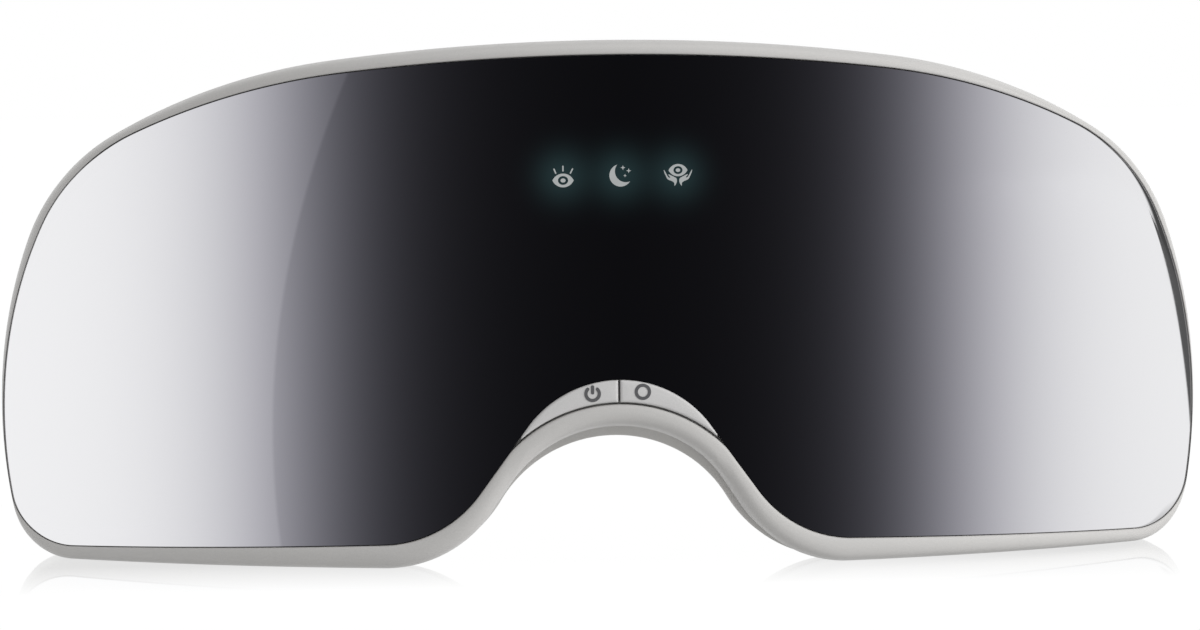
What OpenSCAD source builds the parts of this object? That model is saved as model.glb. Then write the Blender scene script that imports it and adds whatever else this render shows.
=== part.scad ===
// Heated eye massager: a curved mirror visor in a two-part silver shell, with a padded face side
// and an elastic head band. X runs to the right as the front is seen, the front faces -Y,
// Z is up, and the mask stands on its two cheek lobes at z = 0. Sizes are in millimetres.
// The modules measure Y from the visor's front; the last lines move the origin to the middle.

/* [Visor] */
// Width of the visor between its two sides
visor_w = 208.8; // [200:0.1:216]
// Height of the visor's top edge above the table
visor_top = 86.4; // [82:0.1:92]
// Height of the visor's lowest edge above the table
visor_bottom = 2.7; // [2:0.1:4]
// Radius that the visor is bowed to, seen from above
visor_bow_r = 150; // [146:1:160]
// Thickness of the visor
visor_t = 1.8; // [1.4:0.1:2]
// Radius of the visor's shoulder
visor_shoulder_r = 115; // [105:1:120]
// Radius of the visor's upper outer corner
visor_temple_r = 33; // [30:0.5:36]
// Radius of the visor's lower outer corner
visor_heel_r = 10.5; // [9:0.1:12]
// Radius of the visor's lower inner corner, beside the nose
visor_toe_r = 20.5; // [18:0.5:22]
// Rise of the visor's lower edge towards the nose, in degrees
visor_sole_rise = 1.8; // [1:0.1:2.5]

/* [Nose arch] */
// Height of the visor's edge over the nose
arch_top = 32; // [30:0.1:34]
// Radius of the visor's edge over the nose
arch_r = 19.2; // [18:0.1:20]
// Height of the two buttons together, at the middle
crescent_h = 4.25; // [3.9:0.05:4.5]
// Radius of the buttons' lower edge
crescent_r = 26.3; // [25:0.1:28]
// Distance from the middle to a button's outer tip
crescent_half_w = 17.4; // [16.5:0.1:18.5]

/* [Shell rims] */
// Width of the rim beside the visor
rim_side = 0.6; // [0.5:0.05:1.2]
// Width of the rim over the visor
rim_top = 2.4; // [2:0.1:3]
// Depth of the front shell's rim under the visor's nose edge
rim_arch_front = 8.1; // [7.8:0.1:8.4]
// Depth of the rear shell's rim under the visor's nose edge
rim_arch_rear = 10.3; // [9.9:0.1:10.7]
// Radius of both rims' shoulder
rim_shoulder_r = 100.5; // [95:0.5:106]
// Radius of both rims' upper outer corner
rim_temple_r = 34.4; // [32:0.2:37]
// Radius of both rims' lower outer corner
rim_heel_r = 10.4; // [9:0.1:11.5]
// Radius of both rims' lower inner corner
rim_toe_r = 22.4; // [20:0.2:23]
// Radius of the front rim over the nose
rim_arch_r_front = 22; // [21.2:0.1:22.8]
// Radius of the rear rim over the nose
rim_arch_r_rear = 22.6; // [21.8:0.1:23.2]

/* [Front shell] */
// Depth of the front shell behind the visor's face
skirt_depth = 12; // [11:0.5:14]
// Wall of the front shell
shell_wall = 1.8; // [1.5:0.1:2]
// Overlap of the ledge that the visor is bonded to
ledge_w = 3; // [2.6:0.1:3.4]
// Thickness of that ledge
ledge_t = 1.5; // [1.2:0.1:1.8]
// Thickness of the bonding gasket
gasket_t = 0.5; // [0.4:0.05:0.7]
// Gap that shows round the visor and the buttons
visor_gap = 0.25; // [0.15:0.05:0.35]

/* [Rear shell] */
// Depth of the middle of the rear shell's face behind the visor's front
face_depth = 26; // [25:0.5:28]
// Radius that the face side is bowed to, seen from above
face_bow_r = 130; // [126:1:136]
// How far the rear shell draws in towards the face
rear_draw = 8; // [7:0.25:8.5]
// Width of the rear shell's back flange
flange_w = 6; // [5:0.5:6.5]
// Wall of the rear shell
rear_wall = 2; // [1.6:0.1:2.2]
// Seam between the two shells
seam_gap = 0.3; // [0.2:0.05:0.5]
// Thickness of the plate that closes the face side
plate_t = 2; // [1.6:0.1:2.4]

/* [Face side] */
// Height of the face cushion on its plate
cushion_h = 12; // [10:0.5:14]
// Distance of the cushion's outer edge from the rear rim
cushion_inset = 10; // [9.8:0.1:10.4]
// Distance of the eye opening below the shell's top edge
band_over_eyes = 20.3; // [20:0.1:20.6]
// Distance of the eye opening from the shell's sides
band_beside_eyes = 22; // [21.8:0.1:22.4]
// Distance of each air bag's inner end from the middle
bag_nose_x = 14; // [13.5:0.5:18]
// Distance of each air bag's outer end from the side of the eye opening
bag_side_gap = 13; // [12.5:0.5:18]
// Distance of an air bag from the upper and lower edges of the eye opening, on average
bag_edge_gap = 8.75; // [8.25:0.25:10]
// How far the air bags lie above the middle of the eye opening
bag_raise = 1.75; // [1.5:0.25:2]
// Thickness of an empty air bag
bag_t = 4.5; // [3.5:0.5:5]
// Thickness of a heating film
heater_t = 0.5; // [0.3:0.1:0.6]
// Thickness of an eye pad's soft cover
liner_t = 1.1; // [0.9:0.1:1.4]

/* [Buttons] */
// Travel of each button
button_travel = 0.5; // [0.3:0.05:0.5]
// How far the buttons stand proud of the visor
button_proud = 0.35; // [0.2:0.05:0.6]
// Distance of each button's stem from the middle
stem_x = 4.2; // [3.8:0.1:4.6]
// Radius of a button's stem
stem_r = 1.2; // [1:0.05:1.3]
// Radial clearance of stems and plungers in their bores
slide_clearance = 0.06; // [0.05:0.01:0.08]
// Side of a tact switch
switch_side = 3.6; // [3.2:0.1:3.8]

/* [Icon light] */
// Distance of the row of lit icons below the visor's top
icon_drop = 20.7; // [19.5:0.1:22]
// Distance between two lit icons
icon_pitch = 9.65; // [9.2:0.05:10]
// Sideways offset of the row of icons
icon_shift = 0.5; // [0:0.1:0.8]

/* [Air pump] */
// Distance of the pump's axis from the visor's side
pump_from_side = 46.4; // [45.9:0.1:47.4]
// Radius of the pump's head
pump_head_r = 8.5; // [8:0.1:8.8]
// Radius of the pump's motor
pump_motor_r = 7.8; // [7:0.1:7.9]
// Outer radius of the air tube
tube_r = 2; // [1.8:0.1:2.1]
// Bore radius of the air tube
tube_bore_r = 1.05; // [0.9:0.05:1.2]
// Distance of the release valve from the visor's side
valve_from_side = 28.4; // [27.9:0.1:29.4]
// Lift of the valve's plunger
valve_lift = 0.8; // [0.5:0.1:1]

/* [Battery and charging] */
// Width of the battery
battery_w = 34; // [30:1:36]
// Height of the battery
battery_h = 36; // [32:1:37]
// Thickness of the battery
battery_t = 8; // [6:0.5:9]
// Distance of the battery's centre from the visor's side
battery_from_side = 41.4; // [40.4:0.1:42.4]
// Distance of the charging socket from the visor's side
usb_from_side = 28.4; // [26.4:0.1:30.4]

/* [Head band] */
// Width of the elastic band
strap_w = 30; // [26:0.5:31]
// Thickness of the elastic band
strap_t = 1.6; // [1.2:0.1:1.8]
// Height of the band's middle
strap_z = 36; // [35:0.5:37]
// Distance of the band's ends from the visor's side
strap_from_side = 6.5; // [6.3:0.1:6.8]
// Radius of the band's bend beside the temples
strap_side_r = 70; // [60:1:80]
// Turn of the band beside the temples, in degrees
strap_side_turn = 50; // [45:1:55]

/* [Hidden] */
$fn = 64;

// Seats: parts that are carried lie this far from what carries them
seat = 0.3;
// Radial clearance of a screw in its pilot bore
screw_fit = 0.05;
// Film of glue on each face of the gasket
glue = 0.03;

half_w = visor_w / 2;
pump_x = half_w - pump_from_side;
valve_x = half_w - valve_from_side;
battery_x = half_w - battery_from_side;
usb_x = half_w - usb_from_side;
strap_x = half_w - strap_from_side;
icon_z = visor_top - icon_drop;
eye_top = visor_top + rim_top - band_over_eyes;
eye_low = 21;
eye_half_w = half_w + rim_side - band_beside_eyes;
eye_x = (eye_half_w - bag_side_gap + bag_nose_x) / 2;
eye_z = (eye_top + eye_low) / 2 + bag_raise;
bag_half_w = (eye_half_w - bag_side_gap - bag_nose_x) / 2;
bag_half_h = (eye_top - eye_low) / 2 - bag_edge_gap;
tube_z = eye_z + bag_half_h + 0.5;

silver = [0.80, 0.79, 0.77];
dark_silver = [0.62, 0.61, 0.59];
black = [0.09, 0.09, 0.10];

// An outline is a chain of arcs and lines, mirrored about the middle. Headings turn clockwise
// from +X, starting at the top middle and ending at the middle of the nose arch:
// brow, shoulder, temple, cheek, heel, sole line, toe, flank line, nose arch.
// turns: headings after brow, shoulder, temple and cheek, the sole's rise and the flank's slope
// radii: shoulder, temple, heel, toe and nose arch
// The brow and cheek radii follow from the width and the height, and the two lines' lengths
// from the place where the chain has to close.
function outline(half_w, top, bottom, arch, turns, radii) =
    [half_w, top, bottom, arch, turns, radii];

function brow_and_cheek(o) =
    let (t = o[4], r = o[5],
        a = sin(t[0]), b = 1 - sin(t[2]), c = 1 - cos(t[0]), d = cos(t[2]) - cos(t[3]),
        p = o[0] - r[0] * (sin(t[1]) - sin(t[0])) - r[1] * (sin(t[2]) - sin(t[1])),
        q = o[1] - o[2] - r[0] * (cos(t[0]) - cos(t[1])) - r[1] * (cos(t[1]) - cos(t[2]))
            - r[2] * (cos(t[3]) + 1),
        det = a * d - b * c)
    [(p * d - b * q) / det, (a * q - c * p) / det];

function arc_step(r, h0, h1) = [r * (sin(h1) - sin(h0)), r * (cos(h1) - cos(h0))];

function sum_steps(v, i = 0) = i == len(v) ? [0, 0] : v[i] + sum_steps(v, i + 1);

// Each row holds the signed radius or the length, the two headings and the number of steps
function chain_rows(o) =
    let (t = o[4], r = o[5], bc = brow_and_cheek(o), sole = 180 + t[4], flank = 180 + t[5],
        fixed = [arc_step(bc[0], 0, t[0]), arc_step(r[0], t[0], t[1]),
            arc_step(r[1], t[1], t[2]), arc_step(bc[1], t[2], t[3]),
            arc_step(r[2], t[3], sole), arc_step(r[3], sole, flank),
            arc_step(-r[4], flank, 180)],
        rest = [0, o[3] - o[1]] - sum_steps(fixed),
        det = sin(sole - flank),
        sole_len = (-rest[0] * sin(flank) - rest[1] * cos(flank)) / det,
        flank_len = (rest[0] * sin(sole) + rest[1] * cos(sole)) / det)
    [[bc[0], 0, t[0], 4], [r[0], t[0], t[1], 6], [r[1], t[1], t[2], 9],
        [bc[1], t[2], t[3], 8], [r[2], t[3], sole, 8], [sole_len, sole, sole, 5],
        [r[3], sole, flank, 7], [flank_len, flank, flank, 2], [-r[4], flank, 180, 9]];

function row_step(row, f) =
    row[1] == row[2] ? row[0] * f * [cos(row[1]), -sin(row[1])]
    : arc_step(row[0], row[1], row[1] + (row[2] - row[1]) * f);

// Right half of an outline: [x, z, heading] for each point
function half_loop(o) =
    let (rows = chain_rows(o),
        starts = [for (i = 0, p = [0, o[1]]; i < len(rows);
            p = p + row_step(rows[i], 1), i = i + 1) p])
    concat(
        [for (i = [0:len(rows) - 1]) for (k = [0:rows[i][3] - 1])
            let (f = k / rows[i][3], p = starts[i] + row_step(rows[i], f))
            [p[0], p[1], rows[i][1] + (rows[i][2] - rows[i][1]) * f]],
        [[0, o[3], 180]]);

// Whole outline: [x, z, normal x, normal z] for each point, clockwise from the top middle
function loop(o) =
    let (h = half_loop(o), n = len(h))
    concat(
        [for (p = h) [p[0], p[1], sin(p[2]), cos(p[2])]],
        [for (i = [n - 2:-1:1]) [-h[i][0], h[i][1], -sin(h[i][2]), cos(h[i][2])]]);

// The same outline drawn in by k, with its corners kept round
function drawn_in(o, k) =
    outline(o[0] - k, o[1] - k, o[2] + k, o[3] + k, o[4],
        [o[5][0] - k, o[5][1] - k, max(o[5][2] - k, 5), max(o[5][3] - k, 5), o[5][4] + k]);

function flat(points) = [for (p = points) [p[0], p[1]]];
function mix(a, b, f) = a + (b - a) * f;

visor_line = outline(half_w, visor_top, visor_bottom, arch_top,
    [6.5, 25, 65, 100, visor_sole_rise, 54],
    [visor_shoulder_r, visor_temple_r, visor_heel_r, visor_toe_r, arch_r]);
rim_turns_front = [7.3, 30, 69.5, 103, 0, 56];
rim_turns_rear = [7.3, 30, 69.5, 104, 0, 58.5];
front_line = outline(half_w + rim_side, visor_top + rim_top, 0, arch_top - rim_arch_front,
    rim_turns_front,
    [rim_shoulder_r, rim_temple_r, rim_heel_r, rim_toe_r - 0.4, rim_arch_r_front]);
rear_line = outline(half_w + rim_side, visor_top + rim_top, 0, arch_top - rim_arch_rear,
    rim_turns_rear,
    [rim_shoulder_r, rim_temple_r, rim_heel_r, rim_toe_r, rim_arch_r_rear]);

// Depth of the surface that lies d inside the visor's face, and h behind the rear flange
function bow_y(x, d) = visor_bow_r - sqrt(pow(visor_bow_r - d, 2) - x * x);
function face_y(x, h) = face_depth + h + face_bow_r - sqrt(face_bow_r * face_bow_r - x * x);
function seam_y(x) = bow_y(x, 0) + skirt_depth;

ledge_front = visor_t + gasket_t;
ledge_back = ledge_front + ledge_t;
frame_front = ledge_back + seat;
frame_t = 2;
frame_back = frame_front + frame_t;
frame_gap = 0.4;
plate_front = seat;
plate_back = plate_front + plate_t;
plate_inset = cushion_inset - 0.2;
bag_front = plate_back + seat;
bag_back = bag_front + bag_t;
heater_front = bag_back + seat;
heater_back = heater_front + heater_t;
room_h = 110;
front_reach = 10;
back_reach = 112;

// Prism along Y over a drawing in X and Z
module along_y(from = -front_reach, to = back_reach)
    translate([0, to, 0]) rotate([90, 0, 0]) linear_extrude(height = to - from) children();

module bow_round(d)
    translate([0, visor_bow_r, -front_reach]) cylinder(r = visor_bow_r - d, h = room_h, $fn = 240);

// Layer between two depths inside the visor's face
module bow_layer(d0, d1) difference() {
    bow_round(d0);
    bow_round(d1);
}

module face_round(h)
    translate([0, face_depth + h + face_bow_r, -front_reach])
        cylinder(r = face_bow_r, h = room_h, $fn = 240);

// Layer between two depths behind the rear flange
module face_layer(h0, h1) difference() {
    face_round(h0);
    face_round(h1);
}

// Places: turned to the face side's surface, and turned about the visor's axis
module at_face(x, z) translate([x, face_y(x, 0), z]) rotate([0, 0, asin(x / face_bow_r)]) children();
module at_bow(r, x, z)
    translate([0, visor_bow_r, z]) rotate([0, 0, asin(x / r)]) translate([0, -r, 0]) children();
module both_sides() {
    children();
    mirror([1, 0, 0]) children();
}
module rod_y(r, y0, y1) translate([0, y1, 0]) rotate([90, 0, 0]) cylinder(r = r, h = y1 - y0);

// Closed ring swept through a list of levels, each a list of as many points. The quads' diagonals
// are mirrored from one half to the other.
module ring_solid(levels) {
    m = len(levels);
    n = len(levels[0]);
    polyhedron(
        points = [for (level = levels) for (p = level) p],
        faces = [for (k = [0:m - 1]) for (i = [0:n - 1])
            let (a = k * n + i, b = k * n + (i + 1) % n,
                c = ((k + 1) % m) * n + (i + 1) % n, d = ((k + 1) % m) * n + i)
            for (f = i < n / 2 ? [[a, d, b], [b, d, c]] : [[a, c, b], [a, d, c]]) f],
        convexity = 8);
}

// Cover with an outer and an inner skin: rings run from the rim to the crown of each
module cover_solid(outer, inner) {
    n = len(outer[0]);
    m = len(outer);
    q = len(inner);
    first = m * n;
    top = (m + q) * n;
    polyhedron(
        points = concat([for (ring = outer) for (p = ring) p], [for (ring = inner) for (p = ring) p],
            [middle(outer[m - 1]), middle(inner[q - 1])]),
        faces = concat(
            [for (k = [0:m - 2]) for (i = [0:n - 1]) for (f = quad(k * n, i, n, true)) f],
            [for (i = [0:n - 1]) [(m - 1) * n + (i + 1) % n, (m - 1) * n + i, top]],
            [for (k = [0:q - 2]) for (i = [0:n - 1]) for (f = quad(first + k * n, i, n, false)) f],
            [for (i = [0:n - 1]) [first + (q - 1) * n + i, first + (q - 1) * n + (i + 1) % n, top + 1]],
            [for (i = [0:n - 1]) let (j = (i + 1) % n)
                for (f = [[i, first + j, first + i], [i, j, first + j]]) f]),
        convexity = 6);
}
function quad(base, i, n, turned) =
    let (a = base + i, b = base + (i + 1) % n, c = b + n, d = a + n)
    turned ? [[a, c, b], [a, d, c]] : [[a, b, c], [a, c, d]];
function middle(ring) = let (n = len(ring)) [for (k = [0:2]) sum_of([for (p = ring) p[k]]) / n];
function sum_of(v, i = 0) = i == len(v) ? 0 : v[i] + sum_of(v, i + 1);

module visor_lens() color([0.10, 0.10, 0.12]) intersection() {
    along_y() polygon(flat(loop(visor_line)));
    bow_layer(0, visor_t);
}

module lens_gasket() color(black) intersection() {
    along_y() difference() {
        polygon(flat(loop(drawn_in(visor_line, gasket_inset))));
        polygon(flat(loop(drawn_in(visor_line, ledge_w - gasket_inset))));
    }
    bow_layer(visor_t + glue, ledge_front - glue);
}
gasket_inset = 0.4;

// Front shell: its inner edge follows the visor, and over the nose the buttons' lower edge
crescent_centre = [0, arch_top - crescent_h - crescent_r];
function reach_to_circle(p, r) =
    let (v = [p[0], p[1]] - crescent_centre, b = v * [p[2], p[3]], c = v * v - r * r)
    b * b > c && b < 0 && abs(p[0]) < crescent_half_w + 1 ? -b - sqrt(b * b - c) : 0;
visor_points = loop(visor_line);
bezel_inner = [for (p = visor_points)
    let (g = max(visor_gap, reach_to_circle(p, crescent_r))) [p[0] + g * p[2], p[1] + g * p[3]]];
front_outer = flat(loop(front_line));
front_wall = flat(loop(drawn_in(front_line, shell_wall)));
ledge_inner = flat(loop(drawn_in(visor_line, ledge_w)));

// Level between the bezel's inner and outer edge, at a share f of its width and a depth t
function bezel_level(f, t) =
    [for (i = [0:len(bezel_inner) - 1])
        let (p = mix(bezel_inner[i], front_outer[i], f)) [p[0], bow_y(p[0], 0) + t, p[1]]];
function depth_level(points, d) = [for (p = points) [p[0], bow_y(p[0], d), p[1]]];
function shift_level(points, t) = [for (p = points) [p[0], bow_y(p[0], 0) + t, p[1]]];

// The bezel's rounded face: share of its width and depth behind the visor's face
bezel_face = [[0, 0.4], [0.06, 0.08], [0.2, -0.1], [0.45, 0], [0.7, 0.5], [0.88, 1.5], [1, 3.4]];

module front_housing() color(silver) difference() {
    union() {
        ring_solid(concat(
            [depth_level(bezel_inner, ledge_front)],
            [for (b = bezel_face) bezel_level(b[0], b[1])],
            [shift_level(front_outer, skirt_depth), shift_level(front_wall, skirt_depth),
                depth_level(front_wall, ledge_back), depth_level(ledge_inner, ledge_back),
                depth_level(ledge_inner, ledge_front)]));
        both_sides() for (p = boss_places) at_bow(visor_bow_r, p[0], p[1])
            rod_y(boss_r, ledge_back - ledge_t / 2, frame_back - 0.2);
    }
    both_sides() {
        for (p = boss_places) at_bow(visor_bow_r, p[0], p[1])
            rod_y(boss_bore_r, ledge_back - 0.3, frame_back + 3);
        translate([stem_x, 0, stem_z]) rod_y(stem_r + slide_clearance, 0.6, 6);
        translate([pin_x, 0, pin_z]) rod_y(pin_r + slide_clearance, 0.6, 8);
    }
}
// Bosses behind the ledge, which the inner frame is screwed to
boss_r = 1.7;
boss_bore_r = 0.8;
// Steps along the visor's outline where the bosses stand, on the brow, shoulder and sole
boss_steps = [2, 8, 36, 39];
boss_places = [for (i = boss_steps) let (p = visor_points[i])
    [p[0] - p[2] * boss_r, p[1] - p[3] * boss_r]];

// Rear shell: share of the draw and share of the depth along its rounded side
rear_curve = [[0, 0], [0, 0.22], [0.04, 0.42], [0.13, 0.6], [0.28, 0.76], [0.5, 0.89],
    [0.75, 0.97], [1, 1]];
lip_gap = seat;
lip_t = 1.1;
lip_reach = 2.5;
lip_inset = shell_wall + lip_gap + lip_t;
function rear_level(k, f, back = 0) =
    [for (p = loop(drawn_in(rear_line, k)))
        [p[0], mix(seam_y(p[0]) + seam_gap, face_y(p[0], 0), f) - back, p[1]]];
function lip_level(k, t) = shift_level(flat(loop(drawn_in(front_line, k))), skirt_depth + t);

module rear_housing() color(dark_silver) difference() {
    ring_solid(concat(
        [for (c = rear_curve) rear_level(rear_draw * c[0], c[1])],
        [rear_level(rear_draw + flange_w, 1), rear_level(rear_draw + flange_w, 1, rear_wall),
            rear_level(rear_draw + rear_wall, 1, rear_wall),
            rear_level(rear_draw * 0.5 + rear_wall, 0.8),
            rear_level(rear_draw * 0.13 + rear_wall, 0.5),
            lip_level(lip_inset, seam_gap + 1.5),
            lip_level(lip_inset, -lip_reach),
            lip_level(shell_wall + lip_gap, -lip_reach), lip_level(shell_wall + lip_gap, seam_gap)]));
    both_sides() translate([strap_x, sleeve_y0 - 2, strap_z])
        sleeve_block(sleeve_w + 2 * seat, sleeve_h + 2 * seat, 30);
    translate([-usb_x, usb_y, -1]) stadium(usb_w + 2 * seat, usb_d + 2 * seat, 6);
}

// Inner frame: bonded behind the ledge, it carries the boards, the pump and the screw posts
post_places = [[37, visor_top - 16.9], [half_w - 24.9, visor_top - 31.4], [half_w - 44.4, 17.6]];
post_r = 3;
post_bore_r = 0.85;
post_bore_depth = 8;
bay_half_w = 13.5;
bay_top = 38;
module inner_frame() color([0.16, 0.16, 0.17]) difference() {
    union() {
        intersection() {
            along_y() difference() {
                polygon(flat(loop(drawn_in(front_line, shell_wall + frame_gap))));
                translate([-bay_half_w, 0]) square([2 * bay_half_w, bay_top]);
                translate([icon_shift - window_w / 2, icon_z - window_h / 2])
                    square([window_w, window_h]);
            }
            bow_layer(frame_front, frame_back);
        }
        intersection() {
            union() {
                both_sides() for (p = post_places) at_face(p[0], p[1]) rod_y(post_r, -45, 0);
                both_sides() for (z = board_screw_z) translate([board_screw_x, 0, z])
                    rod_y(board_post_r, 0, board_y - seat);
                for (z = cradle_z) translate([pump_x - 5, 0, z]) cube([10, pump_y - 3, cradle_t]);
                at_bow(tube_line_r, valve_x, valve_z0 + 3) translate([-3.5, -12, 0])
                    cube([7, 12 - valve_depth / 2 - seat, 8]);
                translate([-usb_x - 5, 0, 7]) cube([10, usb_board_y - seat, 5]);
                both_sides() for (z = [vibrator_z0 + 1, vibrator_z0 + vibrator_h - 3.4])
                    translate([vibrator_x - 3.2, 0, z]) cube([6.4, vibrator_y - 1, 2.4]);
            }
            bow_round(frame_front + frame_t / 2);
        }
    }
    both_sides() {
        for (p = boss_places) at_bow(visor_bow_r, p[0], p[1]) rod_y(boss_r + seat, 0, 12);
        for (p = post_places) at_face(p[0], p[1]) rod_y(post_bore_r, -post_bore_depth, 1);
        for (z = board_screw_z) translate([board_screw_x, 0, z]) rod_y(screw_r + screw_fit, 0, 40);
        translate([bracket_screw_x, 0, bracket_screw_z]) rod_y(screw_r + screw_fit, 0, 40);
        translate([vibrator_x, vibrator_y, vibrator_z0 - 2]) cylinder(r = vibrator_r + seat, h = 30);
    }
    translate([pump_x, pump_y, pump_z0 - 2]) cylinder(r = pump_motor_r + seat, h = pump_motor_h + 2);
    translate([pump_x, pump_y, pump_z0 + pump_motor_h - seat]) cylinder(r = pump_head_r + seat, h = 30);
}

// Plate that closes the face side and carries the cushion, the air bags and their covers
module face_plate() color(black) difference() {
    intersection() {
        along_y() polygon(flat(loop(drawn_in(rear_line, plate_inset))));
        face_layer(plate_front, plate_back);
    }
    both_sides() {
        for (p = post_places) at_face(p[0], p[1]) {
            rod_y(screw_r + 2 * screw_fit, -5, 8);
            screw_cone(plate_back * cos(asin(p[0] / face_bow_r)), 0.1);
        }
        translate([port_x, 0, tube_z]) rod_y(port_r + seat, 20, 60);
        translate([eye_x, 0, eye_z]) rod_y(2, 20, 60);
    }
}
screw_r = 0.8;
screw_head_r = 1.9;
screw_head_h = 1.1;
module screw_cone(y, gap) translate([0, y, 0]) rotate([90, 0, 0])
    cylinder(r1 = screw_head_r + gap, r2 = screw_r + gap, h = screw_head_h);

// Buttons: two halves of one crescent over the nose
module crescent(k) intersection() {
    difference() {
        translate([visor_gap / 2 + k, arch_top - 14]) square([crescent_half_w - k, 15]);
        polygon([for (p = visor_points)
            [p[0] + (visor_gap + k) * p[2], p[1] + (visor_gap + k) * p[3]]]);
        translate(crescent_centre) circle(r = crescent_r + visor_gap + k, $fn = 180);
    }
    translate([0, arch_top - 14]) square([crescent_half_w - 0.2, 15]);
}
stem_z = arch_top - 0.55 * crescent_h;
pin_x = 10.4;
pin_z = arch_top - 4.7;
pin_r = 0.7;
button_t = ledge_front - seat - button_travel;
edge_step = 0.25;
stem_end = bow_y(stem_x, ledge_back) + 1.1;
module button() {
    intersection() {
        along_y() crescent(0);
        bow_layer(-button_proud + edge_step, button_t);
    }
    intersection() {
        along_y() crescent(edge_step);
        bow_layer(-button_proud, 0.5);
    }
    translate([stem_x, 0, stem_z]) rod_y(stem_r, 0.6, stem_end);
    translate([pin_x, 0, pin_z]) rod_y(pin_r, 0.6, stem_end + 0.2);
}
module mode_button() color(silver) button();
module power_button() color(silver) mirror([1, 0, 0]) button();

// Tact switches behind the buttons
plunger_r = 1;
plunger_gap = 0.05;
switch_front = stem_end + 1;
switch_t = 1.9;
module plunger() translate([stem_x, 0, stem_z])
    rod_y(plunger_r, stem_end + plunger_gap, switch_front + 0.8);
module mode_plunger() color(black) plunger();
module power_plunger() color(black) mirror([1, 0, 0]) plunger();
module button_switches() color([0.75, 0.76, 0.78]) both_sides() difference() {
    translate([stem_x - switch_side / 2, switch_front, stem_z - switch_side / 2])
        cube([switch_side, switch_t, switch_side]);
    translate([stem_x, 0, stem_z])
        rod_y(plunger_r + slide_clearance, switch_front - 1, switch_front + 0.9 + button_travel);
}
button_board_y = switch_front + switch_t;
button_board_t = 0.8;
module button_board() color([0.08, 0.30, 0.16])
    translate([-12.5, button_board_y, stem_z - switch_side / 2]) cube([25, button_board_t, 8.8]);

bracket_front = button_board_y + button_board_t + seat;
bracket_t = 1.2;
bracket_screw_x = 16.5;
bracket_z0 = arch_top - rim_arch_front + lip_inset + 1.8 + seat;
bracket_h = 7.5;
bracket_screw_z = bracket_z0 + bracket_h / 2;
bracket_leg_front = bow_y(bay_half_w + 5.5, frame_back) + seat;
module button_bracket() color(black) difference() {
    union() {
        translate([-bay_half_w - 5.5, bracket_front, bracket_z0])
            cube([2 * bay_half_w + 11, bracket_t, bracket_h]);
        both_sides() translate([bay_half_w + 0.5, bracket_leg_front, bracket_z0])
            cube([5, bracket_front - bracket_leg_front + bracket_t, bracket_h]);
    }
    both_sides() translate([bracket_screw_x, 0, bracket_screw_z]) rod_y(screw_r + 2 * screw_fit, 0, 30);
}

// Light for the three icons: diffuser film, mask with a well for each, board and LEDs
window_w = 33;
window_h = 13;
mask_w = window_w - 2 * seat;
mask_h = window_h - 2 * seat;
well_w = 6.4;
well_h = 7.6;
film_front = visor_t + 0.1;
film_t = 0.3;
mask_front = film_front + film_t + 0.1;
icon_board_y = bow_y(mask_w / 2 + icon_shift, mask_front) + 3.6;
module icon_row() for (k = [-1:1]) translate([icon_shift + k * icon_pitch, 0, icon_z]) children();
module icon_film() color([0.85, 0.88, 0.9]) intersection() {
    translate([icon_shift - mask_w / 2, -1, icon_z - mask_h / 2]) cube([mask_w, 20, mask_h]);
    bow_layer(film_front, film_front + film_t);
}
module icon_mask() color(black) difference() {
    intersection() {
        translate([icon_shift - mask_w / 2, -1, icon_z - mask_h / 2])
            cube([mask_w, icon_board_y + 1, mask_h]);
        bow_round(mask_front);
    }
    icon_row() translate([-well_w / 2, -2, -well_h / 2]) cube([well_w, 20, well_h]);
}
module indicator_board() color([0.08, 0.30, 0.16])
    translate([icon_shift - mask_w / 2, icon_board_y, icon_z - mask_h / 2]) cube([mask_w, 1, mask_h]);
module indicator_leds() color([0.9, 0.95, 0.8])
    icon_row() translate([-1, icon_board_y - 0.8, -0.7]) cube([2, 0.8, 1.4]);

// Main board, flat across the middle of the frame
board_half_w = 34;
board_z0 = arch_top + 9;
board_h = visor_top - 6.4 - board_z0;
board_t = 1.2;
board_y = bow_y(board_half_w, frame_back) + seat;
board_screw_x = board_half_w - 4;
board_screw_z = [board_z0 + 3, board_z0 + board_h - 3];
board_post_r = 2.4;
module main_board() color([0.08, 0.30, 0.16]) difference() {
    translate([-board_half_w, board_y, board_z0]) cube([2 * board_half_w, board_t, board_h]);
    both_sides() for (z = board_screw_z) translate([board_screw_x, 0, z])
        rod_y(screw_r + 2 * screw_fit, 0, 30);
}
board_back = board_y + board_t;
low_row = board_z0 + 8;
high_row = board_z0 + board_h - 8;
socket_pitch = 10;
module chip(x, z, w, h, t) translate([x - w / 2, board_back, z - h / 2]) cube([w, t, h]);
module main_components() color([0.12, 0.12, 0.13]) {
    chip(-6, low_row, 9, 9, 1);
    chip(8, low_row, 5, 5, 1);
    chip(17, low_row, 4, 4, 2);
    chip(-20, low_row, 5, 6, 2.2);
    for (s = [-1, 1]) for (k = [0, 1]) chip(s * (12 + k * socket_pitch), high_row, 6, 5, 3.2);
    translate([0, 0, high_row]) rod_y(4.5, board_back, board_back + 3.5);
    for (s = [-1, 1]) for (k = [0:2]) chip(s * (22 + 3 * k), low_row + 6, 1, 2, 0.6);
}

// Battery on its foam pad
vibrator_z0 = 7;
vibrator_h = 10.5;
weight_gap = 0.5;
weight_h = 4;
pad_t = 1;
pad_r = sqrt(pow(visor_bow_r - frame_back - seat, 2) - pow(battery_w / 2 - 3, 2));
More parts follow.
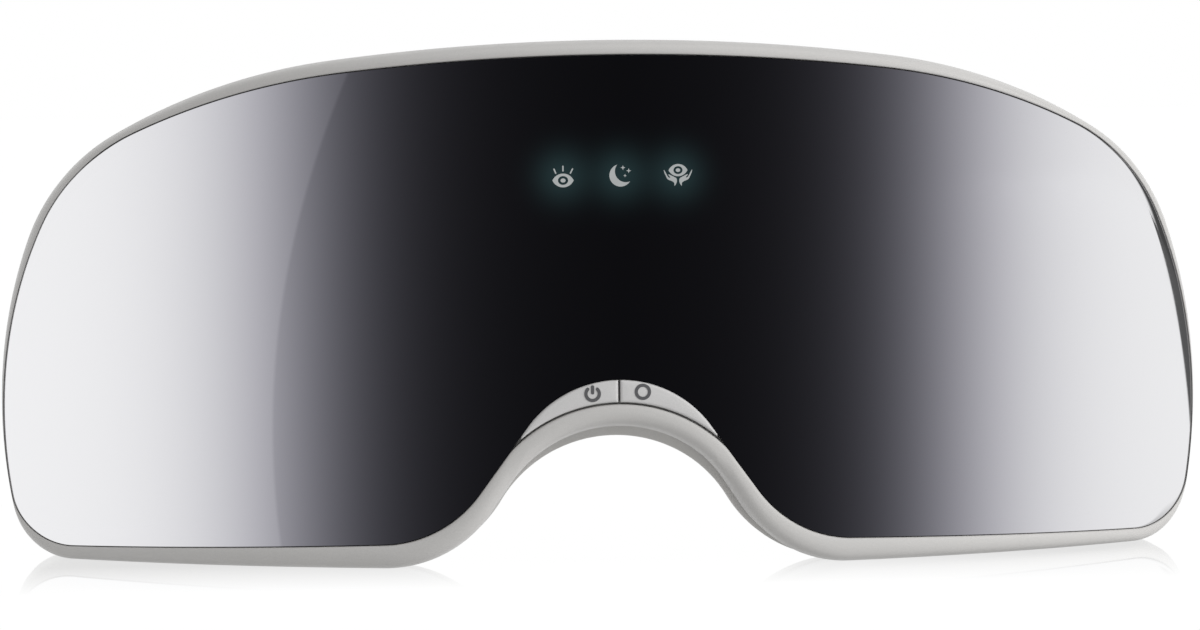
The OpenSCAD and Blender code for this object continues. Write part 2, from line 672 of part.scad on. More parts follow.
// The battery stands above the vibration motors' weights, which may then lie under it
battery_z0 = vibrator_z0 + vibrator_h + weight_gap + weight_h + seat;
module battery_pad() color([0.2, 0.2, 0.21])
    at_bow(pad_r, -battery_x, battery_z0 + 3) translate([3 - battery_w / 2, 0, 0])
        cube([battery_w - 6, pad_t, battery_h - 6]);
module battery() color([0.74, 0.75, 0.78]) at_bow(pad_r, -battery_x, battery_z0)
    translate([-battery_w / 2, pad_t, 0]) {
        translate([battery_t / 2, 0, 0]) cube([battery_w - battery_t, battery_t, battery_h]);
        for (x = [battery_t / 2, battery_w - battery_t / 2])
            translate([x, battery_t / 2, 0]) cylinder(r = battery_t / 2, h = battery_h);
        translate([4, 1.5, battery_h]) cube([battery_w - 8, battery_t - 3, 1.6]);
    }

// Charging socket in the underside of the rear shell
usb_w = 9;
usb_d = 3.3;
usb_y = seam_y(usb_x) + 5;
usb_z0 = 0.7;
usb_board_y = usb_y - usb_d / 2 - 1;
module stadium(w, d, h) {
    translate([-(w - d) / 2, -d / 2, 0]) cube([w - d, d, h]);
    for (s = [-1, 1]) translate([s * (w - d) / 2, 0, 0]) cylinder(r = d / 2, h = h);
}
module usb_socket() color([0.7, 0.71, 0.73]) translate([-usb_x, usb_y, usb_z0]) difference() {
    stadium(usb_w, usb_d, 7.3);
    translate([0, 0, -1]) stadium(usb_w - 0.7, usb_d - 0.7, 7);
    translate([-3.3, -0.35, 5.99]) cube([6.6, 0.7, 0.02]);
}
module usb_board() color([0.08, 0.30, 0.16])
    translate([-usb_x - 7, usb_board_y, lip_inset + seat]) cube([14, 1, 11.5]);

// Air pump: motor below, diaphragm head above, with a crank on the shaft in the head
pump_y = (bow_y(pump_x, frame_back) + face_y(pump_x, plate_front)) / 2;
pump_motor_h = 20;
pump_head_h = 16;
pump_gap = 4;
nozzle_top = tube_z - tube_r;
pump_z0 = nozzle_top - pump_gap - pump_head_h - pump_motor_h;
cradle_z = [pump_z0 + 3, pump_z0 + pump_motor_h - 7];
cradle_t = 4;
crank_r = 4;
crank_h = 3;
cavity_h = 7;
shaft_r = 0.75;
head_z0 = pump_z0 + pump_motor_h;
nozzle_r = tube_bore_r - 0.05;
module pump_motor() color([0.75, 0.76, 0.78]) translate([pump_x, pump_y, pump_z0]) difference() {
    union() {
        cylinder(r = pump_motor_r, h = pump_motor_h);
        translate([0, 0, -1.2]) cylinder(r = 2.5, h = 1.2);
    }
    translate([0, 0, pump_motor_h - 6]) cylinder(r = shaft_r + slide_clearance, h = 7);
}
module pump_crank() color([0.85, 0.8, 0.6]) translate([pump_x, pump_y, head_z0]) {
    translate([0, 0, -5]) cylinder(r = shaft_r, h = 6.5);
    translate([0, 0, 1]) cylinder(r = crank_r, h = crank_h);
    translate([crank_r - 1.6, 0, 1 + crank_h]) cylinder(r = 0.8, h = 2);
}
module pump_head() color([0.2, 0.2, 0.21]) translate([pump_x, pump_y, head_z0]) difference() {
    union() {
        cylinder(r = pump_head_r, h = pump_head_h);
        translate([0, 0, pump_head_h]) cylinder(r = 4, h = 1.2);
        translate([0, 0, pump_head_h]) cylinder(r = nozzle_r, h = nozzle_top + 1 - head_z0 - pump_head_h);
    }
    translate([0, 0, -1]) cylinder(r = crank_r + 1, h = cavity_h + 1);
}

// Release valve with its plunger
valve_h = 16;
valve_z0 = nozzle_top - pump_gap - valve_h;
valve_w = 9.4;
valve_depth = 10;
tube_line_r = sqrt(pow(visor_bow_r - pump_y, 2) + pump_x * pump_x);
module at_valve() at_bow(tube_line_r, valve_x, valve_z0) children();
valve_bore_r = 1.5;
plunger_low = 1.2;
plunger_top = 6.8;
module air_valve() color([0.75, 0.76, 0.78]) at_valve() difference() {
    union() {
        translate([-valve_w / 2, -valve_depth / 2, 0]) cube([valve_w, valve_depth, valve_h]);
        translate([0, 0, valve_h]) cylinder(r = nozzle_r, h = nozzle_top + 1 - valve_z0 - valve_h);
    }
    translate([0, 0, -1])
        cylinder(r = valve_bore_r + slide_clearance, h = 1 + plunger_top + valve_lift + 0.4);
}
module valve_plunger() color([0.6, 0.6, 0.62])
    at_valve() translate([0, 0, -plunger_low]) cylinder(r = valve_bore_r, h = plunger_low + plunger_top);

// Air tube: one line along the mask with a drop to the pump and valve and a branch to each bag
port_x = eye_x - 4;
port_r = 1.6;
port_front = face_y(port_x, plate_front) - 3;
function tube_y(x) = visor_bow_r - sqrt(tube_line_r * tube_line_r - x * x);
function turn_of(x) = asin(x / tube_line_r);
branch_r = tube_r - 0.2;
joint_r = tube_r + 0.5;
joint_h = 2 * joint_r;
module air_tubes() color([0.82, 0.84, 0.86]) difference() {
    union() {
        translate([0, visor_bow_r, tube_z]) rotate([0, 0, turn_of(-port_x) - 90])
            rotate_extrude(angle = turn_of(valve_x) + turn_of(port_x), $fn = 120)
                translate([tube_line_r, 0]) circle(r = tube_r, $fn = 48);
        for (x = [-port_x, port_x]) translate([x, 0, tube_z]) rod_y(branch_r, tube_y(x), port_front);
        for (x = [pump_x, valve_x]) translate([x, tube_y(x), nozzle_top - 0.5])
            cylinder(r = branch_r, h = tube_r);
        for (x = [-port_x, port_x, pump_x, valve_x]) translate([x, tube_y(x), tube_z - joint_r])
            cylinder(r = joint_r, h = joint_h);
    }
    for (x = [pump_x, valve_x]) translate([x, tube_y(x), nozzle_top - 1])
        cylinder(r = tube_bore_r, h = 1 + tube_r);
    for (x = [-port_x, port_x]) translate([x, 0, tube_z]) rod_y(tube_bore_r, tube_y(x), port_front + 1);
}

// Eye pads: air bag, heating film and soft cover over each eye
oval_power = 2.4;
oval_steps = 44;
function oval(a, b) = [for (i = [0:oval_steps - 1]) let (t = -360 * i / oval_steps)
    [a * sign(cos(t)) * pow(abs(cos(t)), 2 / oval_power),
        b * sign(sin(t)) * pow(abs(sin(t)), 2 / oval_power)]];
module eye_slab(a, b, h0, h1) intersection() {
    along_y() translate([eye_x, eye_z]) polygon(oval(a, b));
    face_layer(h0, h1);
}
module airbag() {
    eye_slab(bag_half_w, bag_half_h, bag_front, bag_back);
    difference() {
        translate([port_x, 0, tube_z]) rod_y(port_r, port_front + seat, face_y(port_x, bag_front) + 1);
        translate([port_x, 0, tube_z]) rod_y(0.8, 0, face_y(port_x, bag_front) - 1);
    }
    intersection() {
        translate([port_x - 4, 0, eye_z]) cube([8, 60, tube_z - eye_z + 3]);
        face_layer(bag_front, bag_front + 1.2);
    }
}
module heater() {
    eye_slab(bag_half_w - 1, bag_half_h - 1, heater_front, heater_back);
}
module airbag_right() color([0.78, 0.8, 0.82]) airbag();
module airbag_left() color([0.78, 0.8, 0.82]) mirror([1, 0, 0]) airbag();
module heater_right() color([0.75, 0.5, 0.2]) heater();
module heater_left() color([0.75, 0.5, 0.2]) mirror([1, 0, 0]) heater();

// The cover's skins: share of the half widths and height behind the flange
liner_margin = 0.9;
liner_top = heater_back + seat;
liner_outer = [[1, bag_front], [1.02, bag_front + 2.2], [0.98, liner_top - 0.6],
    [0.86, liner_top + liner_t * 0.9], [0.62, liner_top + liner_t + 0.8],
    [0.3, liner_top + liner_t + 1.3]];
liner_inner = [[1, bag_front], [1, liner_top - 0.8], [0.97, liner_top], [0.5, liner_top]];
function liner_rings(profile, a, b) = [for (r = profile)
    [for (p = oval(a * r[0], b * r[0])) let (x = eye_x + p[0]) [x, face_y(x, r[1]), eye_z + p[1]]]];
module liner() {
    a = bag_half_w + liner_margin;
    b = bag_half_h + liner_margin;
    difference() {
        cover_solid(liner_rings(liner_outer, a + liner_t, b + liner_t), liner_rings(liner_inner, a, b));
        intersection() {
            translate([port_x - 5, 0, eye_z + 5]) cube([10, 60, 20]);
            face_layer(bag_front - 1, bag_front + 1.6);
        }
    }
}
module eye_liner_right() color([0.16, 0.16, 0.17]) liner();
module eye_liner_left() color([0.16, 0.16, 0.17]) mirror([1, 0, 0]) liner();

// Vibration motors low beside the nose, each with an eccentric weight
vibrator_x = eye_x;
vibrator_r = 3;
vibrator_y = bow_y(vibrator_x, frame_back) + vibrator_r + 2.5;
module vibrator() translate([vibrator_x, vibrator_y, vibrator_z0]) difference() {
    cylinder(r = vibrator_r, h = vibrator_h);
    translate([0, 0, vibrator_h - 5]) cylinder(r = 0.5 + slide_clearance, h = 6);
}
module weight() translate([vibrator_x, vibrator_y, vibrator_z0 + vibrator_h]) {
    translate([0, 0, -4]) cylinder(r = 0.5, h = 4 + weight_gap + weight_h);
    translate([0, 0, weight_gap]) intersection() {
        cylinder(r = vibrator_r - 0.2, h = weight_h);
        translate([-vibrator_r, -0.7, 0]) cube([2 * vibrator_r, vibrator_r + 1, weight_h]);
    }
}
module vibrator_right() color([0.75, 0.76, 0.78]) vibrator();
module vibrator_left() color([0.75, 0.76, 0.78]) mirror([1, 0, 0]) vibrator();
module vibrator_weight_right() color([0.55, 0.5, 0.42]) weight();
module vibrator_weight_left() color([0.55, 0.5, 0.42]) mirror([1, 0, 0]) weight();

// Face cushion: a crowned ring whose sides draw in to the plate
eye_opening = outline(eye_half_w, eye_top, eye_low, arch_top + 10,
    [7.3, 30, 69.5, 104, 0, 42], [78, 14, 8, 10, 20]);
cushion_base = plate_back + seat;
// Share of the band's width and share of the height along the crown
crown = [[0.07, 0], [-0.03, 0.3], [0, 0.6], [0.13, 0.86], [0.33, 0.98], [0.56, 1],
    [0.79, 0.9], [0.95, 0.66], [1, 0.34], [0.93, 0]];
cushion_outer = flat(loop(drawn_in(rear_line, cushion_inset)));
cushion_inner = flat(loop(eye_opening));
module face_cushion() color([0.13, 0.13, 0.14]) ring_solid([for (c = crown)
    [for (i = [0:len(cushion_outer) - 1]) let (p = mix(cushion_outer[i], cushion_inner[i], c[0]))
        [p[0], face_y(p[0], cushion_base + cushion_h * c[1]), p[1]]]]);

// Head band: its ends sit in sleeves in the rear shell's shoulders
sleeve_wall = 0.8;
strap_gap = 0.3;
sleeve_w = strap_t + 2 * (strap_gap + sleeve_wall);
sleeve_h = strap_w + 2 * (strap_gap + sleeve_wall);
sleeve_y0 = face_y(strap_x, 0) - 10.5;
sleeve_y1 = face_y(strap_x, 0) + 2.5;
module sleeve_block(w, h, len) translate([-w / 2, 0, -h / 2]) cube([w, len, h]);
module strap_sleeve() difference() {
    translate([strap_x, sleeve_y0, strap_z]) sleeve_block(sleeve_w, sleeve_h, sleeve_y1 - sleeve_y0);
    translate([strap_x, sleeve_y0 + 1.2, strap_z])
        sleeve_block(strap_t + 2 * strap_gap, strap_w + 2 * strap_gap, 30);
}
module strap_sleeve_right() color(black) strap_sleeve();
module strap_sleeve_left() color(black) mirror([1, 0, 0]) strap_sleeve();

strap_bend_y = sleeve_y1 + 5;
strap_back_r = (strap_x - strap_side_r * (1 - cos(strap_side_turn))) / cos(strap_side_turn);
strap_back_y = strap_bend_y + strap_side_r * sin(strap_side_turn) - strap_back_r * sin(strap_side_turn);
tail_turn = 34;
tail_gap = 0.2;
// The tail is sewn to the band over its first few degrees
sewn_from = 2;
sewn_to = 5;
function arc_line(c, r, a0, a1, n) = [for (i = [0:n]) let (a = mix(a0, a1, i / n)) c + r * [cos(a), sin(a)]];
function side_line(s, depth, a0, a1, n) =
    [for (p = arc_line([strap_x - strap_side_r, strap_bend_y], strap_side_r + strap_t / 2 - depth, a0, a1, n))
        [s * p[0], p[1]]];
function back_line(depth, a0, a1) =
    arc_line([0, strap_back_y], strap_back_r + strap_t / 2 - depth, a0, a1, 16);
strap_end_y = sleeve_y0 + 1.5;
strap_edge_x = strap_x + strap_t / 2;
tail_out = strap_t + tail_gap;
// One line round the band: its outer face, its inner face, and the sewn tail on the right
band_line = concat(
    [[strap_edge_x, strap_end_y]],
    side_line(1, 0, 0, strap_side_turn, 10),
    back_line(0, strap_side_turn + 4, 176 - strap_side_turn),
    side_line(-1, 0, strap_side_turn, 0, 10),
    [[-strap_edge_x, strap_end_y], [strap_t - strap_edge_x, strap_end_y]],
    side_line(-1, strap_t, 0, strap_side_turn, 10),
    back_line(strap_t, 176 - strap_side_turn, strap_side_turn + 4),
    side_line(1, strap_t, strap_side_turn, sewn_to, 10),
    side_line(1, tail_out, sewn_to, tail_turn, 8),
    side_line(1, tail_out + strap_t, tail_turn, sewn_from, 8),
    side_line(1, strap_t, sewn_from, 0, 1),
    [[strap_edge_x - strap_t, strap_end_y]]);
module head_strap() color([0.14, 0.14, 0.15]) translate([0, 0, strap_z - strap_w / 2])
    linear_extrude(height = strap_w) polygon(band_line);
slider_turn = 27;
slider_wall = 1.6;
slider_l = 11;
slider_in = 2 * strap_t + tail_gap + 2 * seat + 0.5;
module strap_slider() color(black)
    translate([strap_x - strap_side_r, strap_bend_y, strap_z]) rotate([0, 0, slider_turn])
        translate([strap_side_r + strap_t / 2 + seat + 0.1 - slider_in, -slider_l / 2, 0]) difference() {
            translate([-slider_wall, 0, -strap_w / 2 - seat - slider_wall])
                cube([slider_in + 2 * slider_wall, slider_l, strap_w + 2 * (seat + slider_wall)]);
            translate([0, -1, -strap_w / 2 - seat]) cube([slider_in, slider_l + 2, strap_w + 2 * seat]);
        }

// Screws: plate to posts, frame to bosses, and the boards
module housing_screws() color([0.6, 0.6, 0.62])
    both_sides() for (p = post_places) at_face(p[0], p[1]) {
        y = plate_back * cos(asin(p[0] / face_bow_r));
        screw_cone(y, 0);
        rod_y(screw_r, 0.6 - post_bore_depth, y - screw_head_h + 0.1);
    }
module frame_screws() color([0.6, 0.6, 0.62]) both_sides() for (p = boss_places)
    at_bow(visor_bow_r, p[0], p[1]) {
        rod_y(boss_bore_r - screw_fit, ledge_back, frame_back + 0.2);
        rod_y(boss_r + seat + 0.1, frame_back + 0.1, frame_back + 1);
    }
module board_screws() color([0.6, 0.6, 0.62]) both_sides() {
    for (z = board_screw_z) translate([board_screw_x, board_back + 0.05, z]) {
        rod_y(screw_r, -4.5, 0.2);
        rod_y(screw_head_r, 0, 1.1);
    }
    translate([bracket_screw_x, bracket_front + bracket_t + 0.05, bracket_screw_z]) {
        rod_y(screw_r, -5, 0.2);
        rod_y(screw_head_r, 0, 1.1);
    }
}

// The model is placed with the origin under the middle of its box
front_y = -button_proud;
back_y = strap_back_y + strap_back_r + strap_t / 2;
module placed() translate([0, -(front_y + back_y) / 2, 0]) children();

placed() visor_lens();
placed() lens_gasket();
placed() front_housing();
placed() rear_housing();
placed() inner_frame();
placed() face_plate();
placed() power_button();
placed() mode_button();
placed() power_plunger();
placed() mode_plunger();
placed() button_switches();
placed() button_board();
placed() button_bracket();
placed() icon_film();
placed() icon_mask();
placed() indicator_board();
placed() indicator_leds();
placed() main_board();
placed() main_components();
placed() battery();
placed() battery_pad();
placed() usb_socket();
placed() usb_board();
placed() pump_motor();
placed() pump_head();
placed() pump_crank();
placed() air_valve();
placed() valve_plunger();
placed() air_tubes();
placed() airbag_left();
placed() airbag_right();
placed() heater_left();
placed() heater_right();
placed() eye_liner_left();
placed() eye_liner_right();
placed() vibrator_left();
placed() vibrator_right();
placed() vibrator_weight_left();
placed() vibrator_weight_right();
placed() face_cushion();
placed() strap_sleeve_left();
placed() strap_sleeve_right();
placed() head_strap();
placed() strap_slider();
placed() housing_screws();
placed() frame_screws();
placed() board_screws();
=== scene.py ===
import math

import bmesh
import bpy
import numpy as np
from mathutils import Matrix, Vector


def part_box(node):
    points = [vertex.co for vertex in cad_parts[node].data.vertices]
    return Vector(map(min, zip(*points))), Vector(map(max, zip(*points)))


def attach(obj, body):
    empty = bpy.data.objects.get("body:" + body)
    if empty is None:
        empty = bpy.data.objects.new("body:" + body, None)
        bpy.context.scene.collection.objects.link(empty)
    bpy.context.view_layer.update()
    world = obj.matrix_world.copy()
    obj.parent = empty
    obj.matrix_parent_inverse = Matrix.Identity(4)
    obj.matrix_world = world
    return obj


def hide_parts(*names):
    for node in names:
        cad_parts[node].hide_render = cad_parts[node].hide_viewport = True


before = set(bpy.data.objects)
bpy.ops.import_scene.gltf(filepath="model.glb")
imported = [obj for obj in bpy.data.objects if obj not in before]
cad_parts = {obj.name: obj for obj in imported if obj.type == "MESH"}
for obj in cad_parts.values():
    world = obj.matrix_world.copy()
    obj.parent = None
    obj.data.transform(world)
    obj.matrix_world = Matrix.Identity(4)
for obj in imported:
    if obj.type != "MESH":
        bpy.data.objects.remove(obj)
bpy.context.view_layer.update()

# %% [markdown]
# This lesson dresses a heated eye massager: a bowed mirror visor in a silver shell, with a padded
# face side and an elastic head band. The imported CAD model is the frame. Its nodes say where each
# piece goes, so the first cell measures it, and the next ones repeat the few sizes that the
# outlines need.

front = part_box("visor_lens")[0].y * 1000
print("visor's front at y =", round(front, 3), "mm")

# %% [markdown]
# All lengths in the cells below are millimetres, and depth is measured from the visor's front.
# One helper turns such points into a piece: metres, the frame's origin, smooth faces, outward
# normals, a material, and the body that the piece rides on. For the CAD nodes that stay, a table
# at the end keeps each finish together with its nodes.


def to_frame(points):
    """Millimetres behind the visor's front become metres in the frame."""
    return (np.asarray(points, float).reshape(-1, 3) + (0, front, 0)) * 0.001


def new_mesh(name, points, faces=(), edges=()):
    mesh = bpy.data.meshes.new(name)
    mesh.from_pydata(np.asarray(points).tolist(), edges, [list(map(int, f)) for f in faces])
    return mesh


def new_object(name, data):
    obj = bpy.data.objects.new(name, data)
    bpy.context.scene.collection.objects.link(obj)
    return obj


def tidy(mesh, merge=True):
    """Merges doubles and turns the faces outwards."""
    bm = bmesh.new()
    bm.from_mesh(mesh)
    if merge:
        bmesh.ops.remove_doubles(bm, verts=bm.verts, dist=1e-7)
    bmesh.ops.recalc_face_normals(bm, faces=bm.faces)
    bm.to_mesh(mesh)
    bm.free()


def dress(obj, material, body="mask", stands_for=(), sharp=35):
    """Gives an object its finish and its body. Edges over sharp degrees stay crisp."""
    obj.data.materials.clear()
    obj.data.materials.append(material)
    obj.data.polygons.foreach_set("use_smooth", [True] * len(obj.data.polygons))
    if sharp:
        obj.data.set_sharp_from_angle(angle=math.radians(sharp))
    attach(obj, body)
    if stands_for:
        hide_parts(*stands_for)
    print(f"{obj.name}: {len(obj.data.vertices)} points, {len(obj.data.polygons)} faces")
    return obj


def piece(name, points, faces, material, body="mask", stands_for=(), sharp=35):
    mesh = new_mesh(name, to_frame(points), faces)
    tidy(mesh)
    return dress(new_object(name, mesh), material, body, stands_for, sharp)


# %% [markdown]
# The mask is seen from the front as a chain of arcs: brow, shoulder, temple, cheek, heel, a
# straight sole, toe, a straight flank and the arch over the nose. It could be traced as a long
# list of points, but a chain takes a dozen sizes and stays smooth at any fineness. Two radii and
# two lengths follow from the others, because the chain has to close. The same chain, drawn in by
# a few millimetres, gives the visor, both shells, the plate and the cushion, so all run parallel.

# %% The chain of arcs
STEPS = (4, 6, 9, 8, 8, 5, 7, 2, 9)
LEAST_R = 5


def drawn_in(line, k):
    """The outline moved inwards by k millimetres."""
    shoulder, temple, heel, toe, nose = line["radii"]
    radii = (shoulder - k, temple - k, max(heel - k, LEAST_R), max(toe - k, LEAST_R), nose + k)
    return dict(half_w=line["half_w"] - k, top=line["top"] - k, bottom=line["bottom"] + k,
                arch=line["arch"] + k, turns=line["turns"], radii=radii)


def loop(line, fine=5):
    """Points round the outline, clockwise from the top middle: x, z, normal x, normal z."""
    shoulder, temple, heel, toe, nose = line["radii"]
    t0, t1, t2, t3, rise, slope = (math.radians(a) for a in line["turns"])
    s, c = math.sin, math.cos
    wide = line["half_w"] - shoulder * (s(t1) - s(t0)) - temple * (s(t2) - s(t1))
    high = line["top"] - line["bottom"] - shoulder * (c(t0) - c(t1)) - temple * (c(t1) - c(t2))
    high -= heel * (c(t3) + 1)
    brow, cheek = np.linalg.solve([[s(t0), 1 - s(t2)], [1 - c(t0), c(t2) - c(t3)]], (wide, high))
    sole, flank = math.pi + rise, math.pi + slope
    arcs = [(brow, 0, t0), (shoulder, t0, t1), (temple, t1, t2), (cheek, t2, t3), (heel, t3, sole),
            (None, sole, sole), (toe, sole, flank), (None, flank, flank), (-nose, flank, math.pi)]

    def along(r, h0, h1):
        return np.array([r * (s(h1) - s(h0)), r * (c(h1) - c(h0))])

    rest = np.array([0, line["arch"] - line["top"]]) - sum(along(*row) for row in arcs if row[0] is not None)
    straight = dict(zip((5, 7), np.linalg.solve([[c(sole), c(flank)], [-s(sole), -s(flank)]], rest)))
    at, half = np.array([0.0, line["top"]]), []
    for i, (r, h0, h1) in enumerate(arcs):
        for f in np.arange(STEPS[i] * fine) / (STEPS[i] * fine):
            h = h0 + (h1 - h0) * f
            step = straight[i] * f * np.array([c(h), -s(h)]) if r is None else along(r, h0, h)
            half.append((*(at + step), h))
        at = at + (straight[i] * np.array([c(h0), -s(h0)]) if r is None else along(r, h0, h1))
    half = np.array(half + [(0, line["arch"], math.pi)])
    right = np.c_[half[:, 0], half[:, 1], np.sin(half[:, 2]), np.cos(half[:, 2])]
    return np.r_[right, right[-2:0:-1] * (-1, 1, -1, 1)]


visor_line = dict(half_w=104.4, top=86.4, bottom=2.7, arch=32,
                  turns=(6.5, 25, 65, 100, 1.8, 54), radii=(115, 33, 10.5, 20.5, 19.2))
front_line = dict(half_w=105, top=88.8, bottom=0, arch=23.9,
                  turns=(7.3, 30, 69.5, 103, 0, 56), radii=(100.5, 34.4, 10.4, 22, 22))
rear_line = dict(half_w=105, top=88.8, bottom=0, arch=21.7,
                 turns=(7.3, 30, 69.5, 104, 0, 58.5), radii=(100.5, 34.4, 10.4, 22.4, 22.6))
eye_line = dict(half_w=83, top=68.5, bottom=21, arch=42,
                turns=(7.3, 30, 69.5, 104, 0, 42), radii=(78, 14, 8, 10, 20))
print("visor outline:", len(loop(visor_line)), "points; widest", round(loop(visor_line)[:, 0].max(), 2))

# %% [markdown]
# Seen from above, the visor is bowed to one radius and the face side to another. A loop of the
# outline is laid on one of these two surfaces, at some depth, and a list of such loops is joined
# into a closed ring. That is how a moulded shell with an even wall is lofted. A box bent by a
# modifier would be quicker, but its walls and its outline would no longer follow the sizes.

# %% Surfaces and lofting
BOW_R, FACE_R, FACE_AT = 150, 130, 156


def bow(x, d=0.0):
    """Depth of the visor's front at x, or of the surface d inside it."""
    return BOW_R - np.sqrt((BOW_R - d) ** 2 - np.asarray(x) ** 2)


def face(x, h=0.0):
    """Depth of the face side at x, or h beyond it."""
    return FACE_AT + h - np.sqrt(FACE_R ** 2 - np.asarray(x) ** 2)


def laid(points, depth):
    """Outline points (x, z) put at a depth, which is one number or one for each point."""
    return np.c_[points[:, 0], np.broadcast_to(depth, len(points)), points[:, 1]]


def at_depth(points, d):
    return laid(points, bow(points[:, 0], d))


def behind(points, t):
    return laid(points, bow(points[:, 0]) + t)


def on_face(points, h):
    return laid(points, face(points[:, 0], h))


def loft(levels, ring=True, caps=False):
    """Joins loops of points. A ring closes from the last loop to the first; caps fill both ends."""
    n, m = len(levels[0]), len(levels)
    i = np.arange(n)
    j = (i + 1) % n
    faces = []
    for k in range(m if ring else m - 1):
        a, b = k * n, (k + 1) % m * n
        faces += np.c_[a + i, a + j, b + j, b + i].tolist()
    if caps:
        faces += [i[::-1].tolist(), (i + (m - 1) * n).tolist()]
    return np.concatenate(levels), faces


def smooth_line(points, per=4, closed=False):
    """A Catmull-Rom curve through the points, with per steps from each to the next."""
    p = np.asarray(points, float)
    q = np.r_[p[-1:], p, p[:2]] if closed else np.r_[2 * p[:1] - p[1:2], p, 2 * p[-1:] - p[-2:-1]]
    out = []
    for k in range(len(q) - 3):
        a, b, c, d = q[k:k + 4]
        for t in np.arange(per) / per:
            out.append(0.5 * (2 * b + (c - a) * t + (2 * a - 5 * b + 4 * c - d) * t * t
                              + (3 * b - a - 3 * c + d) * t ** 3))
    return np.array(out if closed else out + [p[-1]])


print("bow at the visor's side:", round(float(bow(104.4)), 2), "mm; face side:", round(float(face(91)), 2))

# %% [markdown]
# Materials come next. Every finish is built from nodes, and effects that several finishes share
# are node groups: a moulded grain, smears from handling, the orange peel of sprayed paint, leather
# pores and a weave. A small helper keeps the wiring short, so that each recipe reads like a list.

# %% Wiring helper
class Recipe:
    """Adds nodes to one tree and wires them as they are written."""

    def __init__(self, tree):
        self.tree = tree

    def add(self, kind, inputs=None, **settings):
        node = self.tree.nodes.new(kind)
        for key, value in settings.items():
            setattr(node, key, value)
        for key, value in (inputs or {}).items():
            self.wire(value, node.inputs[key])
        return node

    def wire(self, value, socket):
        if isinstance(value, bpy.types.NodeSocket):
            self.tree.links.new(value, socket)
        elif value is not None:
            socket.default_value = value

    def math(self, operation, *values, clamp=False):
        node = self.add("ShaderNodeMath", operation=operation, use_clamp=clamp)
        for value, socket in zip(values, node.inputs):
            self.wire(value, socket)
        return node.outputs[0]

    def plus(self, a, b):
        return self.math("ADD", a, b)

    def minus(self, a, b):
        return self.math("SUBTRACT", a, b)

    def times(self, a, b, clamp=False):
        return self.math("MULTIPLY", a, b, clamp=clamp)

    def over(self, a, b):
        return self.math("DIVIDE", a, b)

    def size(self, a):
        return self.math("ABSOLUTE", a)

    def mix(self, factor, a, b):
        node = self.add("ShaderNodeMix", data_type="RGBA")
        for value, key in ((factor, 0), (a, 6), (b, 7)):
            self.wire(value, node.inputs[key])
        return node.outputs[2]

    def where(self, kind="Object", scale=1.0):
        """Object or UV coordinates in millimetres, then scaled along each axis."""
        source = self.add("ShaderNodeTexCoord").outputs[kind]
        size = (scale,) * 3 if isinstance(scale, (int, float)) else scale
        scale = [1000.0 * v for v in size]
        return self.add("ShaderNodeMapping", {"Vector": source, "Scale": scale}).outputs[0]

    def axes(self, vector):
        return self.add("ShaderNodeSeparateXYZ", {"Vector": vector}).outputs

    def noise(self, vector, scale=1.0, detail=2.0, rough=0.5):
        return self.add("ShaderNodeTexNoise", {"Vector": vector, "Scale": scale, "Detail": detail,
                                               "Roughness": rough}).outputs[0]

    def cells(self, vector, scale=1.0, feature="F1", output="Distance"):
        node = self.add("ShaderNodeTexVoronoi", {"Vector": vector, "Scale": scale}, feature=feature)
        return node.outputs[output]

    def span(self, value, low, high, to_low=0.0, to_high=1.0):
        """Maps low to high onto to_low to to_high, and stays at the ends beyond them."""
        return self.add("ShaderNodeMapRange", {"Value": value, "From Min": low, "From Max": high,
                                               "To Min": to_low, "To Max": to_high}).outputs[0]


# %% Groups and finishes
def new_group(name, inputs, outputs, build):
    """A shader node group with named inputs and outputs. build gets the recipe and the inputs."""
    tree = bpy.data.node_groups.new(name, "ShaderNodeTree")
    for key, value in inputs.items():
        kind = "NodeSocketVector" if isinstance(value, tuple) else "NodeSocketFloat"
        tree.interface.new_socket(key, in_out="INPUT", socket_type=kind).default_value = value
    for key in outputs:
        tree.interface.new_socket(key, in_out="OUTPUT", socket_type="NodeSocketFloat")
    made = build(Recipe(tree), tree.nodes.new("NodeGroupInput").outputs)
    end = tree.nodes.new("NodeGroupOutput")
    for key in outputs:
        tree.links.new(made[key], end.inputs[key])
    return tree


def use(recipe, group, **values):
    node = recipe.add("ShaderNodeGroup", node_tree=group)
    for key, value in values.items():
        recipe.wire(value, node.inputs[key])
    return node.outputs


def finish(name, build, **plain):
    """A material whose varying sockets come from build, and whose uniform ones are set plainly."""
    material = bpy.data.materials.new(name)
    material.use_nodes = True
    shader = material.node_tree.nodes["Principled BSDF"]
    for key, value in plain.items():
        shader.inputs[key.replace("_", " ")].default_value = value
    recipe = Recipe(material.node_tree)
    for key, value in build(recipe).items():
        if key == "bump":
            height, depth = value
            value = recipe.add("ShaderNodeBump", {"Height": height, "Distance": depth * 0.001}).outputs[0]
            key = "Normal"
        recipe.wire(value, shader.inputs[key])
    return material


def tinted(tone, k=1.0):
    return tuple(min(1.0, v * k) for v in tone) + (1,)


def patterned(name, tone, rough, pattern, depth, darker, lighter=1.0, smeared=0.12, **plain):
    """A finish with a tone that changes with its relief, whose mask and height pattern gives."""
    def build(r):
        mask, height = pattern(r)
        smear = use(r, smear_group, Roughness=rough, Amount=smeared)
        return {"Base Color": r.mix(mask, tinted(tone, darker), tinted(tone, lighter)),
                "Roughness": smear["Roughness"], "bump": (height, depth)}
    return finish(name, build, **plain)


# %% [markdown]
# Moulded plastic has a spark-eroded grain: fine pits of uneven size. The same group, finer or
# coarser, also serves rubber, foam and the lacquer of a circuit board. Smears are what hands
# leave on any surface: they only change the gloss a little. Orange peel is the slight long wave
# of a sprayed coat, with the flakes that give silver paint its glitter.

